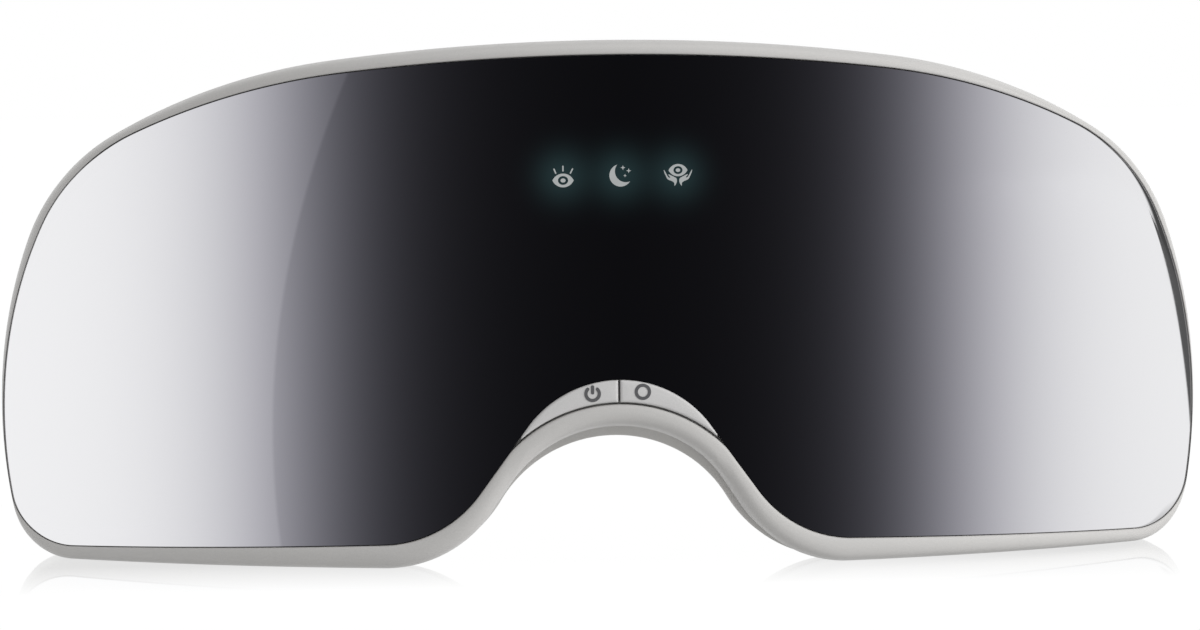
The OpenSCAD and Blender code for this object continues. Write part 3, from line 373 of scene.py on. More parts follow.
# %% Shared effects: grain, smears and orange peel
def build_grain(r, given):
    spot = r.where()
    fine = r.noise(spot, given["Scale"], detail=3.0, rough=0.6)
    pits = r.cells(spot, r.times(given["Scale"], 0.7))
    return {"Height": r.times(r.plus(fine, r.times(pits, 0.6)), given["Depth"]), "Pits": pits}


def build_smears(r, given):
    wide = r.noise(r.where(scale=(0.03, 0.05, 0.04)), detail=3.0, rough=0.65)
    fine = r.noise(r.where(scale=(0.4, 0.25, 0.3)))
    mask = r.span(r.times(wide, fine), 0.16, 0.36)
    rough = r.plus(given["Roughness"], r.times(r.minus(mask, 0.5), given["Amount"]))
    return {"Roughness": rough, "Mask": mask}


def build_peel(r, given):
    wave = r.noise(r.where(), given["Wave"], detail=1.0, rough=0.4)
    flake = r.cells(r.where(), given["Flake"], output="Color")
    light = r.add("ShaderNodeSeparateColor", {"Color": flake}).outputs[0]
    return {"Height": r.times(wave, given["Depth"]), "Flake": light}


grain_group = new_group("moulded_grain", {"Scale": 4.0, "Depth": 0.5}, ("Height", "Pits"), build_grain)
smear_group = new_group("handling_smears", {"Roughness": 0.4, "Amount": 0.1},
                        ("Roughness", "Mask"), build_smears)
peel_group = new_group("orange_peel", {"Wave": 0.35, "Flake": 14.0, "Depth": 0.3},
                       ("Height", "Flake"), build_peel)
print("shared effects:", grain_group.name, smear_group.name, peel_group.name)

# %% [markdown]
# The shell is sprayed in a warm satin silver. A fully metallic shader would look like bare metal
# and take its tone from the room, so the paint is only partly metallic: flakes shift its tone by
# a few per cent, the coat has a faint orange peel, and handling changes the gloss. The three
# tones are near each other. The front shell and the buttons follow their parts in the photograph;
# the rear shell's silver is lighter than the front's, a painted lift of light that makes up for
# the shade it sits in, facing the floor, where the real rear shell is a shade darker.

# %% Silver paint
def silver(name, tone, rough):
    def peel(r):
        made = use(r, peel_group, Wave=0.3, Flake=16.0, Depth=1.0)
        return made["Flake"], made["Height"]
    return patterned(name, tone, rough, peel, 0.012, 0.93, 1.05, 0.07, Metallic=0.15, Coat_Weight=0.05,
                     Coat_Roughness=0.3, Specular_IOR_Level=0.35)


silver_front = silver("silver_paint_front", (0.485, 0.477, 0.466), 0.42)
# painted light: the rear silver is lighter than the front's, to make up for the shade the rear shell sits in
silver_rear_painted_light = silver("silver_paint_rear_painted_light", (0.56, 0.551, 0.535), 0.44)
silver_button = silver("silver_paint_button", (0.525, 0.52, 0.517), 0.38)
print("silver paints:", silver_front.name, silver_rear_painted_light.name, silver_button.name)

# %% [markdown]
# The visor is a clear shell with a mirror coat whose colour fades: almost black over the nose,
# bright silver at both temples, a little brighter on the left than on the right. This fade is a
# painted reflection: it stands for a room that is dark in front of the mask and bright at its
# sides, as the visor mirrors it, and it follows a logistic curve over the distance from the middle.
# On the left a second, curved edge runs through it, a painted reflection of a panel of the studio.
# Tones were judged on a screen, so they are turned into light at the end. Behind the visor three
# icons glow teal, and their light spills a few millimetres into the tint, which is the emission here.

# %% Mirror coat
FADE_MIDDLE, FADE_HALF, FADE_SOFT = 1.0, 54.4, 10.3
PANEL_X, PANEL_Z, PANEL_BEND, PANEL_STEP = 58.0, 21.9, 0.0035, 0.24
DARKEST, BRIGHT_RIGHT, BRIGHT_LEFT = 0.047, 0.878, 0.895
ICON_Z, ICON_SHIFT, ICON_PITCH, ICON_SPILL = 66.2, 0.5, 9.65, 17.0


def as_light(r, shown):
    """A tone as a screen shows it, turned into light by the usual screen curve."""
    return r.math("POWER", r.over(r.plus(shown, 0.055), 1.055), 2.4)


def build_mirror_painted_reflection(r):
    spot = r.axes(r.where())
    low = r.minus(spot[2], PANEL_Z)
    # painted reflection: the curved edge of a studio panel, mirrored on the left, shifts the fade
    past_panel_reflection = r.plus(spot[0], r.minus(PANEL_X, r.times(r.times(low, low), PANEL_BEND)))
    panel = r.span(past_panel_reflection, 0.3, -0.3, 0, PANEL_STEP)
    # the fade is a painted reflection of a room that is dark in front and bright at the sides
    side = r.over(r.minus(r.size(r.minus(spot[0], FADE_MIDDLE)), FADE_HALF), FADE_SOFT)
    fade = r.over(1.0, r.plus(1.0, r.math("EXPONENT", r.times(-1.0, r.plus(side, panel)))))
    # the coat's colour carries the painted reflection: near black in the middle, silver at the sides,
    # brighter on the left
    level = as_light(r, r.plus(r.times(fade, r.span(spot[0], 0, -45, BRIGHT_RIGHT, BRIGHT_LEFT)), DARKEST))
    green = r.times(level, r.span(fade, 0.6, 1, 0.985, 1))
    blue = r.times(level, r.span(fade, 0, 1, 1.22, 1.015))
    coat = r.add("ShaderNodeCombineColor", {"Red": level, "Green": green, "Blue": blue}).outputs[0]
    down = r.minus(spot[2], ICON_Z)
    glow = 0.0
    for k in (-1, 0, 1):
        across = r.minus(spot[0], ICON_SHIFT + k * ICON_PITCH)
        far = r.plus(r.times(across, across), r.times(down, down))
        glow = r.plus(glow, r.math("EXPONENT", r.over(far, -ICON_SPILL)))
    smear = use(r, smear_group, Roughness=0.045, Amount=0.03)
    return {"Base Color": coat, "Roughness": smear["Roughness"],
            "Emission Color": r.mix(glow, (0, 0, 0, 1), (0.0125, 0.029, 0.031, 1))}


mirror_coat_painted_reflection = finish("mirror_coat_painted_reflection", build_mirror_painted_reflection, Metallic=1.0, Emission_Strength=1.0)
print("mirror coat:", len(mirror_coat_painted_reflection.node_tree.nodes), "nodes")

# %% [markdown]
# The camera stands where the photographer's did: a long lens, a little above the mask and to its
# left. The place and the angles came from fitting the visor's outline to the photograph's.

# %% Camera at the photograph's angle
YAW, PITCH, ROLL = (math.radians(a) for a in (-3.85, 2.87, -0.60))
LENS, SENSOR, AWAY = 161.2, 36, 0.9
target = Vector((-3.1, front, 42.8)) * 0.001
away = Vector((math.sin(YAW) * math.cos(PITCH), -math.cos(YAW) * math.cos(PITCH), math.sin(PITCH)))
level_right = Vector((math.cos(YAW), math.sin(YAW), 0))
level_up = away.cross(level_right)
right = math.cos(ROLL) * level_right + math.sin(ROLL) * level_up
up = math.cos(ROLL) * level_up - math.sin(ROLL) * level_right
lens = bpy.data.cameras.new("photo_camera")
lens.lens, lens.sensor_width = LENS, SENSOR
camera = new_object("photo_camera", lens)
turned = Matrix((right, up, away)).transposed().to_4x4()
camera.matrix_world = Matrix.Translation(target + away * AWAY) @ turned
bpy.context.scene.camera = camera
print("camera at", [round(v, 4) for v in camera.matrix_world.translation])

# %% [markdown]
# A mirror shows the whole room, so the studio is part of the look. The photograph has white all
# round, and one dark thing beside the mask: it is the dark band at the visor's right edge. A band
# painted on the visor would stay there from every side. So the room itself is dark in a narrow
# sector on the right, but only for mirrored rays, and the light on the mask stays soft and even.
# Two soft boxes add the highlight on top and the brighter right flank.

# %% Room and soft boxes
DARK_RISE, DARK_FALL, DARK_HEIGHT, DARK_SHARE = (93, 96), (140, 120), (0.75, 0.5), 0.93


def soft_box(name, place, size, power, aim=(0, 0, 0.04), mirrored=False):
    lamp = bpy.data.lights.new(name, "AREA")
    lamp.shape, lamp.size, lamp.size_y, lamp.energy = "RECTANGLE", size[0], size[1], power
    box = new_object(name, lamp)
    box.location = place
    box.rotation_euler = (Vector(aim) - Vector(place)).to_track_quat("-Z", "Y").to_euler()
    box.visible_glossy = mirrored


world = bpy.data.worlds.new("white_studio")
world.use_nodes = True
air = Recipe(world.node_tree)
sky = world.node_tree.nodes["Background"]
sky.inputs["Color"].default_value = (1, 1, 1, 1)
path = air.add("ShaderNodeLightPath").outputs
way = air.axes(air.add("ShaderNodeTexCoord").outputs["Generated"])
side = air.times(air.math("ARCTAN2", way[0], air.times(way[1], -1.0)), 180 / math.pi)
dark = air.times(air.span(side, *DARK_RISE), air.span(side, *DARK_FALL))
dark = air.times(air.times(dark, air.span(way[2], *DARK_HEIGHT)), path["Is Glossy Ray"])
shine = air.minus(air.span(path["Is Diffuse Ray"], 0, 1, 1.0, 0.66), air.times(dark, DARK_SHARE))
air.wire(shine, sky.inputs["Strength"])
bpy.context.scene.world = world
bpy.context.scene.view_settings.view_transform = "Standard"
soft_box("soft_box_top", (0.1, -0.4, 1.4), (1.4, 1.0), 1.2, mirrored=True)
soft_box("soft_box_right", (2.3, -1.0, 0.6), (1.0, 1.2), 60)
print("the room is dark from", DARK_RISE[0], "to", DARK_FALL[0], "degrees, to mirrored rays only")

# %% [markdown]
# The mask stands on a white table that mirrors it faintly, close to where it stands. A plain
# white plane would show a grey cast shadow, which the photograph doesn't have, so the floor glows
# by itself and its white is left to the camera. The mirror image is a thin gloss that fades out
# in front of the mask, behind it and at both sides. Far out on the right the floor carries on the
# room's dark sector, again for mirrored rays only.

# %% Floor
GLOSS_FRONT, GLOSS_BACK, GLOSS_SIDE, GLOSS_SHARE = (-26, 20), (60, 160), (108, 150), 0.36
STRETCH_Y, STRETCH_X, STRETCH_SLOPE, STRETCH_SHARE = (30, 44), (300, 360), -0.019, 0.9
floor_paint = bpy.data.materials.new("floor_paint")
floor_paint.use_nodes = True
r = Recipe(floor_paint.node_tree)
r.tree.nodes.clear()
matt = r.add("ShaderNodeBsdfDiffuse", {"Color": (0.008, 0.008, 0.008, 1)}).outputs[0]
path = r.add("ShaderNodeLightPath").outputs
spot = r.axes(r.where())
beyond = r.plus(spot[1], r.times(spot[0], STRETCH_SLOPE))
dark = r.times(r.span(beyond, *STRETCH_Y), r.times(r.span(spot[0], *STRETCH_X), path["Is Glossy Ray"]))
glow = r.minus(r.span(path["Is Diffuse Ray"], 0, 1, 0.998, 0.6), r.times(dark, STRETCH_SHARE))
lit_up = r.add("ShaderNodeEmission", {"Strength": glow}).outputs[0]
body = r.add("ShaderNodeAddShader", {0: matt, 1: lit_up}).outputs[0]
gloss = r.add("ShaderNodeBsdfAnisotropic", {"Color": (1, 1, 1, 1), "Roughness": 0.03}).outputs[0]
near_side = r.span(spot[1], *(front + y for y in GLOSS_FRONT), 0, GLOSS_SHARE)
far_side = r.span(spot[1], *(front + y for y in GLOSS_BACK), 1, 0)
share = r.times(r.times(near_side, far_side), r.span(r.size(spot[0]), *GLOSS_SIDE, 1, 0))
both = r.add("ShaderNodeMixShader", {0: share, 1: body, 2: gloss}).outputs[0]
r.wire(both, r.add("ShaderNodeOutputMaterial").inputs[0])
bpy.ops.mesh.primitive_plane_add(size=12, location=(0, 0, -0.0001))
floor = bpy.context.object
floor.name = "studio_floor"
floor.data.materials.append(floor_paint)
print("floor:", [round(v, 2) for v in floor.dimensions], "m")

# %% [markdown]
# The visor is a 1.8 mm sheet. A mirror shows every fault of its mesh, so its two faces are laid
# in upright columns: on a surface that is bowed only sideways, each column is exactly straight.
# One filled outline would be less work, but its long triangles would kink the reflections. The
# columns crowd together towards the cheeks, where the outline stands upright.

# %% Visor
COLUMNS, ROWS = 243, 18
VISOR_T, EDGE_IN, EDGE_DROP = 1.8, 2.0, 0.2


def joint(up):
    """How far the joint's two sides lie outside the visor's line, where its normal points up by up."""
    shell = 0.25 - 0.35 * np.clip((up - 0.2) / 0.6, 0, 1) ** 2
    return shell - 0.05 - 0.1 * np.clip((-up - 0.35) / 0.5, 0, 1), shell


def column_sheet(line):
    """Columns (x, top, bottom) of a sheet, and its rim: x, z, normal x, normal z."""
    inner = loop(line, 24)
    turn, back = int(inner[:, 0].argmax()), int(inner[:, 0].argmin())
    x = inner[:, 0].max() * np.sin(np.linspace(-math.pi / 2, math.pi / 2, COLUMNS))[1:-1]
    upper, lower = np.r_[inner[back:], inner[:turn + 1]], inner[turn:back + 1][::-1]
    top, low = (np.array([np.interp(x, edge[:, 0], edge[:, k]) for k in (1, 2, 3)]).T
                for edge in (upper, lower))
    left_tip, right_tip = [(*inner[back, :2], -1, 0)], [(*inner[turn, :2], 1, 0)]
    return x, top[:, 0], low[:, 0], np.r_[left_tip, np.c_[x, top], right_tip, np.c_[x, low][::-1]]


def visor_mesh():
    x, top, low, rim = column_sheet(drawn_in(visor_line, EDGE_IN))
    n, count = len(x), len(rim)
    levels = [(EDGE_IN * (1 - math.sin(a)), EDGE_DROP * (1 - math.cos(a)))
              for a in np.linspace(0, math.pi / 2, 9)]
    levels += [(0, VISOR_T - 0.2), (0.06, VISOR_T - 0.05), (0.2, VISOR_T), (EDGE_IN, VISOR_T)]
    normal = rim[:, 2:] / np.linalg.norm(rim[:, 2:], axis=1)[:, None]
    over = joint(normal[:, 1])[0] / EDGE_IN
    rings = [at_depth(rim[:, :2] + normal * ((EDGE_IN - k) * (1 + over))[:, None], d) for k, d in levels]
    rim_points, faces = loft(rings, ring=False)
    points, total = [rim_points], len(rim_points)
    for base, d in ((0, 0.0), (total - count, VISOR_T)):
        grid = np.zeros((n, ROWS + 1), int)
        grid[:, 0] = base + 1 + np.arange(n)
        grid[:, ROWS] = base + count - 1 - np.arange(n)
        for k in range(1, ROWS):
            points.append(np.c_[x, bow(x, d), top + (low - top) * k / ROWS])
            grid[:, k] = total + np.arange(n)
            total += n
        faces += [(grid[i, k], grid[i + 1, k], grid[i + 1, k + 1], grid[i, k + 1])
                  for i in range(n - 1) for k in range(ROWS)]
        for k in range(ROWS):
            faces.append((base, grid[0, k], grid[0, k + 1]))
            faces.append((base + n + 1, grid[n - 1, k + 1], grid[n - 1, k]))
    return np.concatenate(points), faces


piece("visor_mirror", *visor_mesh(), mirror_coat_painted_reflection, stands_for=("visor_lens",), sharp=None)

# %% [markdown]
# The front shell is one moulding: a narrow bezel round the visor that widens over the nose, and
# a skirt behind it. It is lofted through loops, where a bevel on a plain ring would keep one width
# all round: the bezel's rounded face is a curve through a few points, given as shares of the
# bezel's width, so it stays the same shape where the bezel widens.

# %% Front shell
CRESCENT_R, CRESCENT_H, CRESCENT_HALF, GAP = 25.2, 4.25, 17.6, 0.34
crescent_centre = np.array([0, visor_line["arch"] - CRESCENT_H - CRESCENT_R])


def bezel_edge(fine):
    """The bezel's inner edge: it follows the visor, and over the nose the buttons' lower edge."""
    p = loop(visor_line, fine)
    from_centre = p[:, :2] - crescent_centre
    b = (from_centre * p[:, 2:]).sum(1)
    c = (from_centre * from_centre).sum(1) - CRESCENT_R ** 2
    under = (b * b > c) & (b < 0) & (abs(p[:, 0]) < CRESCENT_HALF + 1)
    reach = np.where(under, -b - np.sqrt(np.maximum(b * b - c, 0)), 0)
    return p[:, :2] + p[:, 2:] * np.maximum(joint(p[:, 3])[1], reach)[:, None]


def near(line, k):
    return loop(drawn_in(line, k), 6)[:, :2]


bezel_face = smooth_line([(0, 0.25), (0.05, 0.02), (0.2, -0.1), (0.45, 0), (0.7, 0.5), (0.88, 1.5), (1, 3.4)])
inner_edge, outer_edge = bezel_edge(6), loop(front_line, 6)[:, :2]
levels = [at_depth(inner_edge, 2.3), behind(inner_edge, 1.2)]
levels += [behind(inner_edge + (outer_edge - inner_edge) * f, t) for f, t in bezel_face]
levels += [behind(outer_edge, t) for t in (5.5, 8, 10.5, 11.7)]
levels += [behind(near(front_line, k), t) for k, t in ((0.05, 11.9), (0.2, 12), (1.8, 12))]
levels += [at_depth(near(front_line, 1.8), 3.8)]
levels += [at_depth(near(visor_line, 3), y) for y in (3.8, 2.3)]
piece("front_shell", *loft(levels), silver_front, stands_for=("front_housing",), sharp=50)

# %% [markdown]
# The rear shell draws in towards the face in one soft curve and ends in a flange that carries the
# face side. A tongue on its front edge reaches into the front shell. It is lofted as the front
# shell is, from loops that lie between the two bowed surfaces.

# %% Rear shell
REAR_START, REAR_IN = 12.3, 8
rear_curve = smooth_line([(0, 0.02), (0, 0.22), (0.04, 0.42), (0.13, 0.6), (0.28, 0.76), (0.5, 0.89),
                          (0.75, 0.97), (1, 1)])


def rear_level(k, f, back=0.0):
    """A loop drawn in by k, at the share f of the way from the front shell to the face side."""
    p = near(rear_line, k)
    start, end = bow(p[:, 0]) + REAR_START, face(p[:, 0])
    return laid(p, start + (end - start) * f - back)


levels = [rear_level(0.3, 0), rear_level(0.08, 0.005)] + [rear_level(REAR_IN * k, f) for k, f in rear_curve]
levels += [rear_level(*row)
           for row in ((13.8, 1), (14, 1, 0.2), (14, 1, 2), (10, 1, 2), (6, 0.8), (3.04, 0.5))]
levels += [behind(near(front_line, k), t) for k, t in ((3.2, 13.8), (3.2, 9.5), (2.1, 9.5), (2.1, 12.3))]
rear_shell = piece("rear_shell", *loft(levels), silver_rear_painted_light, stands_for=("rear_housing",), sharp=40)

# %% [markdown]
# The slots for the head band and the opening of the charging socket are made in the mould by side
# cores that slide out. Boolean modifiers do the same here: rounded blocks are taken out of the
# finished wall, which keeps the loops of the loft free of special cases.

# %% Openings in the rear shell
STRAP_X, STRAP_Z, SLEEVE_Y0, SLEEVE_Y1 = 97.9, 36, 59.97, 72.97


def rounded_loop(w, d, r, n=8):
    """A rectangle w by d with corners of radius r, as points in a plane."""
    out = []
    for k, (sx, sy) in enumerate(((1, 1), (-1, 1), (-1, -1), (1, -1))):
        for a in np.linspace(0, math.pi / 2, n) + k * math.pi / 2:
            out.append((sx * (w / 2 - r) + r * math.cos(a), sy * (d / 2 - r) + r * math.sin(a)))
    return np.array(out)


def cutter(name, levels):
    points, faces = loft(levels, ring=False, caps=True)
    mesh = new_mesh(name, to_frame(points), faces)
    tidy(mesh)
    return new_object(name, mesh)


def cut(obj, tools):
    for tool in tools:
        change = obj.modifiers.new(tool.name, "BOOLEAN")
        change.operation, change.solver, change.object = "DIFFERENCE", "EXACT", tool
    graph = bpy.context.evaluated_depsgraph_get()
    made = bpy.data.meshes.new_from_object(obj.evaluated_get(graph))
    obj.modifiers.clear()
    obj.data = made
    for tool in tools:
        bpy.data.objects.remove(tool)
    print(f"{obj.name} after its cuts: {len(made.polygons)} faces")


slot_loop, port_loop = rounded_loop(4.4, 32.8, 1.6), rounded_loop(9.6, 3.9, 1.9)
usb_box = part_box("usb_socket")
port_at = (usb_box[0] + usb_box[1]) * 500
tools = [cutter(f"slot_tool_{word}", [laid(slot_loop + (side * STRAP_X, STRAP_Z), y) for y in (57.9, 92)])
         for side, word in ((-1, "left"), (1, "right"))]
port_loop = port_loop + (port_at.x, port_at.y - front)
tools.append(cutter("port_tool", [np.c_[port_loop, np.full(len(port_loop), z)] for z in (-1, 5)]))
cut(rear_shell, tools)
rear_shell.data.set_sharp_from_angle(angle=math.radians(40))

# %% [markdown]
# Soft finishes follow. Coated fabric has pores between raised pebbles, the band is a woven
# elastic whose ribs run along it, and the pads are a fine knit. Weave and knit are one node group
# with different sizes: it needs only the place across and along the cloth. The band carries its
# own length and width as UV, so that the ribs follow its bends, where Object coordinates would
# cut straight through them.

# %% Shared effects: pores and weave
def build_pores(r, given):
    spot = r.where()
    edge = r.cells(spot, given["Scale"], "DISTANCE_TO_EDGE")
    fold = r.noise(spot, 0.25, detail=3.0, rough=0.6)
    pebble = r.span(edge, 0.0, 0.22)
    return {"Height": r.plus(r.times(pebble, 0.7), r.times(fold, 0.8)), "Pores": pebble}


def build_weave(r, given):
    spot = r.axes(given["Place"])
    across, along = r.over(spot[1], given["Rib"]), r.over(spot[0], given["Pick"])
    turned = r.times(r.math("MODULO", r.size(r.math("FLOOR", across)), 2.0), 0.5)
    rib = r.size(r.math("SINE", r.times(across, math.pi)))
    over = r.size(r.math("SINE", r.times(r.plus(along, turned), math.pi)))
    yarn = r.times(r.math("POWER", rib, 0.6), r.plus(0.45, r.times(over, 0.55)))
    return {"Height": yarn, "Shade": r.math("POWER", yarn, 1.5)}


pore_group = new_group("leather_pores", {"Scale": 1.6}, ("Height", "Pores"), build_pores)
weave_group = new_group("woven_yarn", {"Place": (0, 0, 0), "Rib": 1.2, "Pick": 0.8},
                        ("Height", "Shade"), build_weave)
print("shared effects:", pore_group.name, weave_group.name)


# %% Cloth, thread and coated fabric
def coated(name, tone, rough, scale, depth):
    def pores(r):
        made = use(r, pore_group, Scale=scale)
        return made["Pores"], made["Height"]
    return patterned(name, tone, rough, pores, depth, 0.6, Specular_IOR_Level=0.4)


def woven(name, kind, rib, pick, yarn, gap, rough, depth):
    def build(r):
        weave = use(r, weave_group, Place=r.where(kind), Rib=rib, Pick=pick)
        fleck = r.span(r.noise(r.where(), 1.3, detail=3.0, rough=0.7), 0.35, 0.7, 0.75, 1.25)
        shade = r.times(weave["Shade"], fleck, clamp=True)
        return {"Base Color": r.mix(shade, tinted(gap), tinted(yarn)),
                "Roughness": r.span(weave["Shade"], 0, 1, min(1, rough + 0.1), rough),
                "bump": (weave["Height"], depth)}
    return finish(name, build, Sheen_Weight=0.25, Sheen_Roughness=0.5, Specular_IOR_Level=0.25)


def build_knit(r):
    spot = r.axes(r.where())
    place = r.add("ShaderNodeCombineXYZ", {"X": spot[2], "Y": spot[0]}).outputs[0]
    weave = use(r, weave_group, Place=place, Rib=0.75, Pick=0.95)
    fleck = r.span(r.noise(r.where(), 0.5), 0.3, 0.7, 0.85, 1.15)
    shade = r.times(weave["Shade"], fleck, clamp=True)
    return {"Base Color": r.mix(shade, (0.012, 0.012, 0.013, 1), (0.075, 0.075, 0.080, 1)),
            "Roughness": r.span(weave["Shade"], 0, 1, 0.95, 0.8), "bump": (weave["Height"], 0.16)}


soft_leather = coated("soft_leather", (0.040, 0.040, 0.043), 0.46, 1.7, 0.06)
piping_leather = coated("piping_leather", (0.026, 0.026, 0.028), 0.38, 2.4, 0.03)
band_elastic = woven("band_elastic", "UV", 1.25, 0.9,
                     (0.060, 0.060, 0.064), (0.008, 0.008, 0.009), 0.82, 0.25)
sewing_thread = woven("sewing_thread", "Object", 0.25, 0.35,
                      (0.20, 0.20, 0.21), (0.07, 0.07, 0.075), 0.6, 0.05)
pad_knit = finish("pad_knit", build_knit, Sheen_Weight=0.3, Sheen_Roughness=0.45, Specular_IOR_Level=0.2)
print("cloths:", [m.name for m in (soft_leather, piping_leather, band_elastic, sewing_thread, pad_knit)])

# %% [markdown]
# Plastic, rubber and ink differ only in tone, gloss and size of grain, so one function makes them
# all. Turned and drawn metal has fine lines along its run: a noise that is stretched along one
# axis gives them without any picture.

# %% Moulded plastic, rubber and metal
def moulded(name, tone, rough, scale=4.0, depth=0.03, **plain):
    def grain(r):
        made = use(r, grain_group, Scale=scale, Depth=1.0)
        return made["Pits"], made["Height"]
    return patterned(name, tone, rough, grain, depth, 0.8, **plain)


def brushed(name, tone, rough, run=(0.2, 8.0, 8.0)):
    def lines(r):
        made = r.noise(r.where(scale=run), detail=4.0, rough=0.7)
        return made, made
    return patterned(name, tone, rough, lines, 0.004, 0.85, smeared=0.1, Metallic=1.0)


moulded_black = moulded("moulded_black", (0.022, 0.022, 0.024), 0.48)
frame_plastic = moulded("frame_plastic", (0.035, 0.035, 0.038), 0.55, 2.5)
plate_lining = moulded("plate_lining", (0.018, 0.018, 0.019), 0.85, 1.6, 0.08)
steel = brushed("screw_steel", (0.55, 0.55, 0.56), 0.3)
brass = brushed("turned_brass", (0.62, 0.50, 0.28), 0.3, (6.0, 6.0, 0.3))
symbol_ink = moulded("symbol_ink", (0.075, 0.075, 0.08), 0.5, 6.0, 0.004)
gasket_rubber = moulded("gasket_rubber", (0.012, 0.012, 0.012), 0.75, 3.0)
print("hard finishes:", [m.name for m in (moulded_black, frame_plastic, plate_lining,
                                          steel, brass, gasket_rubber)])

# %% [markdown]
# The two buttons are halves of one crescent over the nose. A bevel modifier would pinch at their
# thin tips, so each half is a grid between its upper and lower edge. The height of every point
# follows from its distance to the nearest edge, which rounds all edges alike, also at the tip.
# The stem and the guide pin behind it go in too.

# %% Edges and face of the buttons
TIP_H, BUTTON_CLEAR = 0.42, 0.16
PROUD, ROUNDING, CROWN, CROWN_IN = 0.35, 0.4, 0.1, 1.7

nose = loop(visor_line, 30)
nose = nose[:len(nose) // 2 + 1][-300:]
upper_edge = nose[:, :2] + nose[:, 2:] * BUTTON_CLEAR
upper_edge = upper_edge[upper_edge[:, 0].argsort()]


def crescent_top(x):
    return np.interp(x, upper_edge[:, 0], upper_edge[:, 1])


def crescent_low(x):
    return crescent_centre[1] + np.sqrt((CRESCENT_R + GAP) ** 2 - np.asarray(x) ** 2)


def upright(x, n):
    """n points of a half's end at x, from the lower edge to the upper one."""
    return np.c_[np.full(n, x), np.linspace(crescent_low(x), crescent_top(x), n)]


span_x = np.linspace(10, CRESCENT_HALF, 400)
tip_x = float(span_x[(crescent_top(span_x) - crescent_low(span_x) > TIP_H).nonzero()[0][-1]])
line_x = np.linspace(GAP / 2, tip_x, 500)
rim_points = np.r_[np.c_[line_x, crescent_top(line_x)], np.c_[line_x, crescent_low(line_x)],
                   upright(GAP / 2, 60), upright(tip_x, 9)]


def button_depth(x, z):
    """Depth of a button's face: proud of the visor, crowned, with rounded edges."""
    d = np.sqrt(((np.c_[x, z][:, None] - rim_points[None]) ** 2).sum(2)).min(1)
    rise = np.sqrt(ROUNDING ** 2 - (ROUNDING - np.minimum(d, ROUNDING)) ** 2)
    return ROUNDING - PROUD - rise + CROWN * (1 - np.minimum(d / CROWN_IN, 1)) ** 2


print("each half runs from x =", GAP / 2, "to", round(tip_x, 2))

# %% Buttons
BUTTON_COLUMNS, BUTTON_ROWS = 73, 21
STEM, PIN = (4.2, visor_line["arch"] - 0.55 * CRESCENT_H, 1.2), (10.4, 27.3, 0.7)


def rod(x, z, r, y0, y1, n=32):
    a = np.arange(n) * 2 * math.pi / n
    rings = [np.c_[x + k * np.cos(a), np.full(n, y), z + k * np.sin(a)]
             for k, y in ((r - 0.1, y0), (r, y0 + 0.1), (r, y1 - 0.1), (r - 0.1, y1))]
    return loft(rings, ring=False, caps=True)


def join(*shapes):
    points, faces = [], []
    for p, f in shapes:
        start = sum(map(len, points))
        points.append(np.asarray(p, float))
        faces += [[v + start for v in row] for row in f]
    return np.concatenate(points), faces


def ease(n):
    """n steps from 0 to 1 that crowd together at both ends."""
    return (1 - np.cos(np.linspace(0, math.pi, n))) / 2


def button_mesh(side):
    n, m = BUTTON_COLUMNS, BUTTON_ROWS
    u = GAP / 2 + (tip_x - GAP / 2) * (0.5 * ease(n) + 0.5 * np.linspace(0, 1, n))
    v = 0.7 * ease(m) + 0.3 * np.linspace(0, 1, m)
    x = np.repeat(u, m)
    z = (crescent_low(u)[:, None] + (crescent_top(u) - crescent_low(u))[:, None] * v[None]).ravel()
    top = np.c_[x, bow(x, button_depth(x, z)), z]
    at = np.arange(n * m).reshape(n, m)
    faces = [(at[i, k], at[i + 1, k], at[i + 1, k + 1], at[i, k + 1])
             for i in range(n - 1) for k in range(m - 1)]
    edge = np.r_[at[:, 0], at[-1, 1:], at[-2::-1, -1], at[0, -2:0:-1]]
    count, base = len(edge), len(top)
    walls = [np.c_[x[edge], bow(x[edge], d), z[edge]] for d in (0.4, 1.35, 1.5)]
    rings = [edge.tolist()]
    rings += [list(range(base + k * count, base + (k + 1) * count)) for k in range(len(walls))]
    for a, b in zip(rings, rings[1:]):
        faces += [(a[i], a[(i + 1) % count], b[(i + 1) % count], b[i]) for i in range(count)]
    faces.append(rings[-1])
    stem_end = float(bow(STEM[0], 3.8)) + 1.1
    points, faces = join((np.concatenate([top, *walls]), faces), rod(*STEM, 0.7, stem_end),
                         rod(*PIN, 0.7, stem_end + 0.2))
    return points * (side, 1, 1), faces


for side, word in ((-1, "power"), (1, "mode")):
    piece(f"button_{word}", *button_mesh(side), silver_button, f"{word}_button",
          stands_for=(f"{word}_button",), sharp=45)

# %% [markdown]
# Symbols are printed, so each is a thin plate that follows the surface under it. A decal picture
# would need an image, and a plate keeps its edge at any distance. A stroke is a band of even
# width with round ends, a ring is a closed band, and a solid shape is one outline.

# %% Shapes of symbols
def stroke(points, width, n=20):
    """A line with round ends, as pairs of points across it."""
    p = np.asarray(points, float)
    along = np.r_[0, np.cumsum(np.linalg.norm(np.diff(p, axis=0), axis=1))]
    at = ease(n) * along[-1]
    p = np.c_[np.interp(at, along, p[:, 0]), np.interp(at, along, p[:, 1])]
    t = np.gradient(p, axis=0)
    t /= np.linalg.norm(t, axis=1)[:, None]
    end = np.clip(np.minimum(at, along[-1] - at) / (width / 2), 0, 1)
    out = np.c_[-t[:, 1], t[:, 0]] * (width / 2 * np.sqrt(1 - (1 - end) ** 2) + 0.02)[:, None]
    return np.stack([p + out, p - out], 1)


def arc(x, z, r, a0, a1, n=24, squeeze=1.0):
    a = np.radians(np.linspace(a0, a1, n))
    return np.c_[x + r * np.cos(a), z + r * squeeze * np.sin(a)]


def circle(x, z, r, n=40):
    return arc(x, z, r, 0, 360 - 360 / n, n)


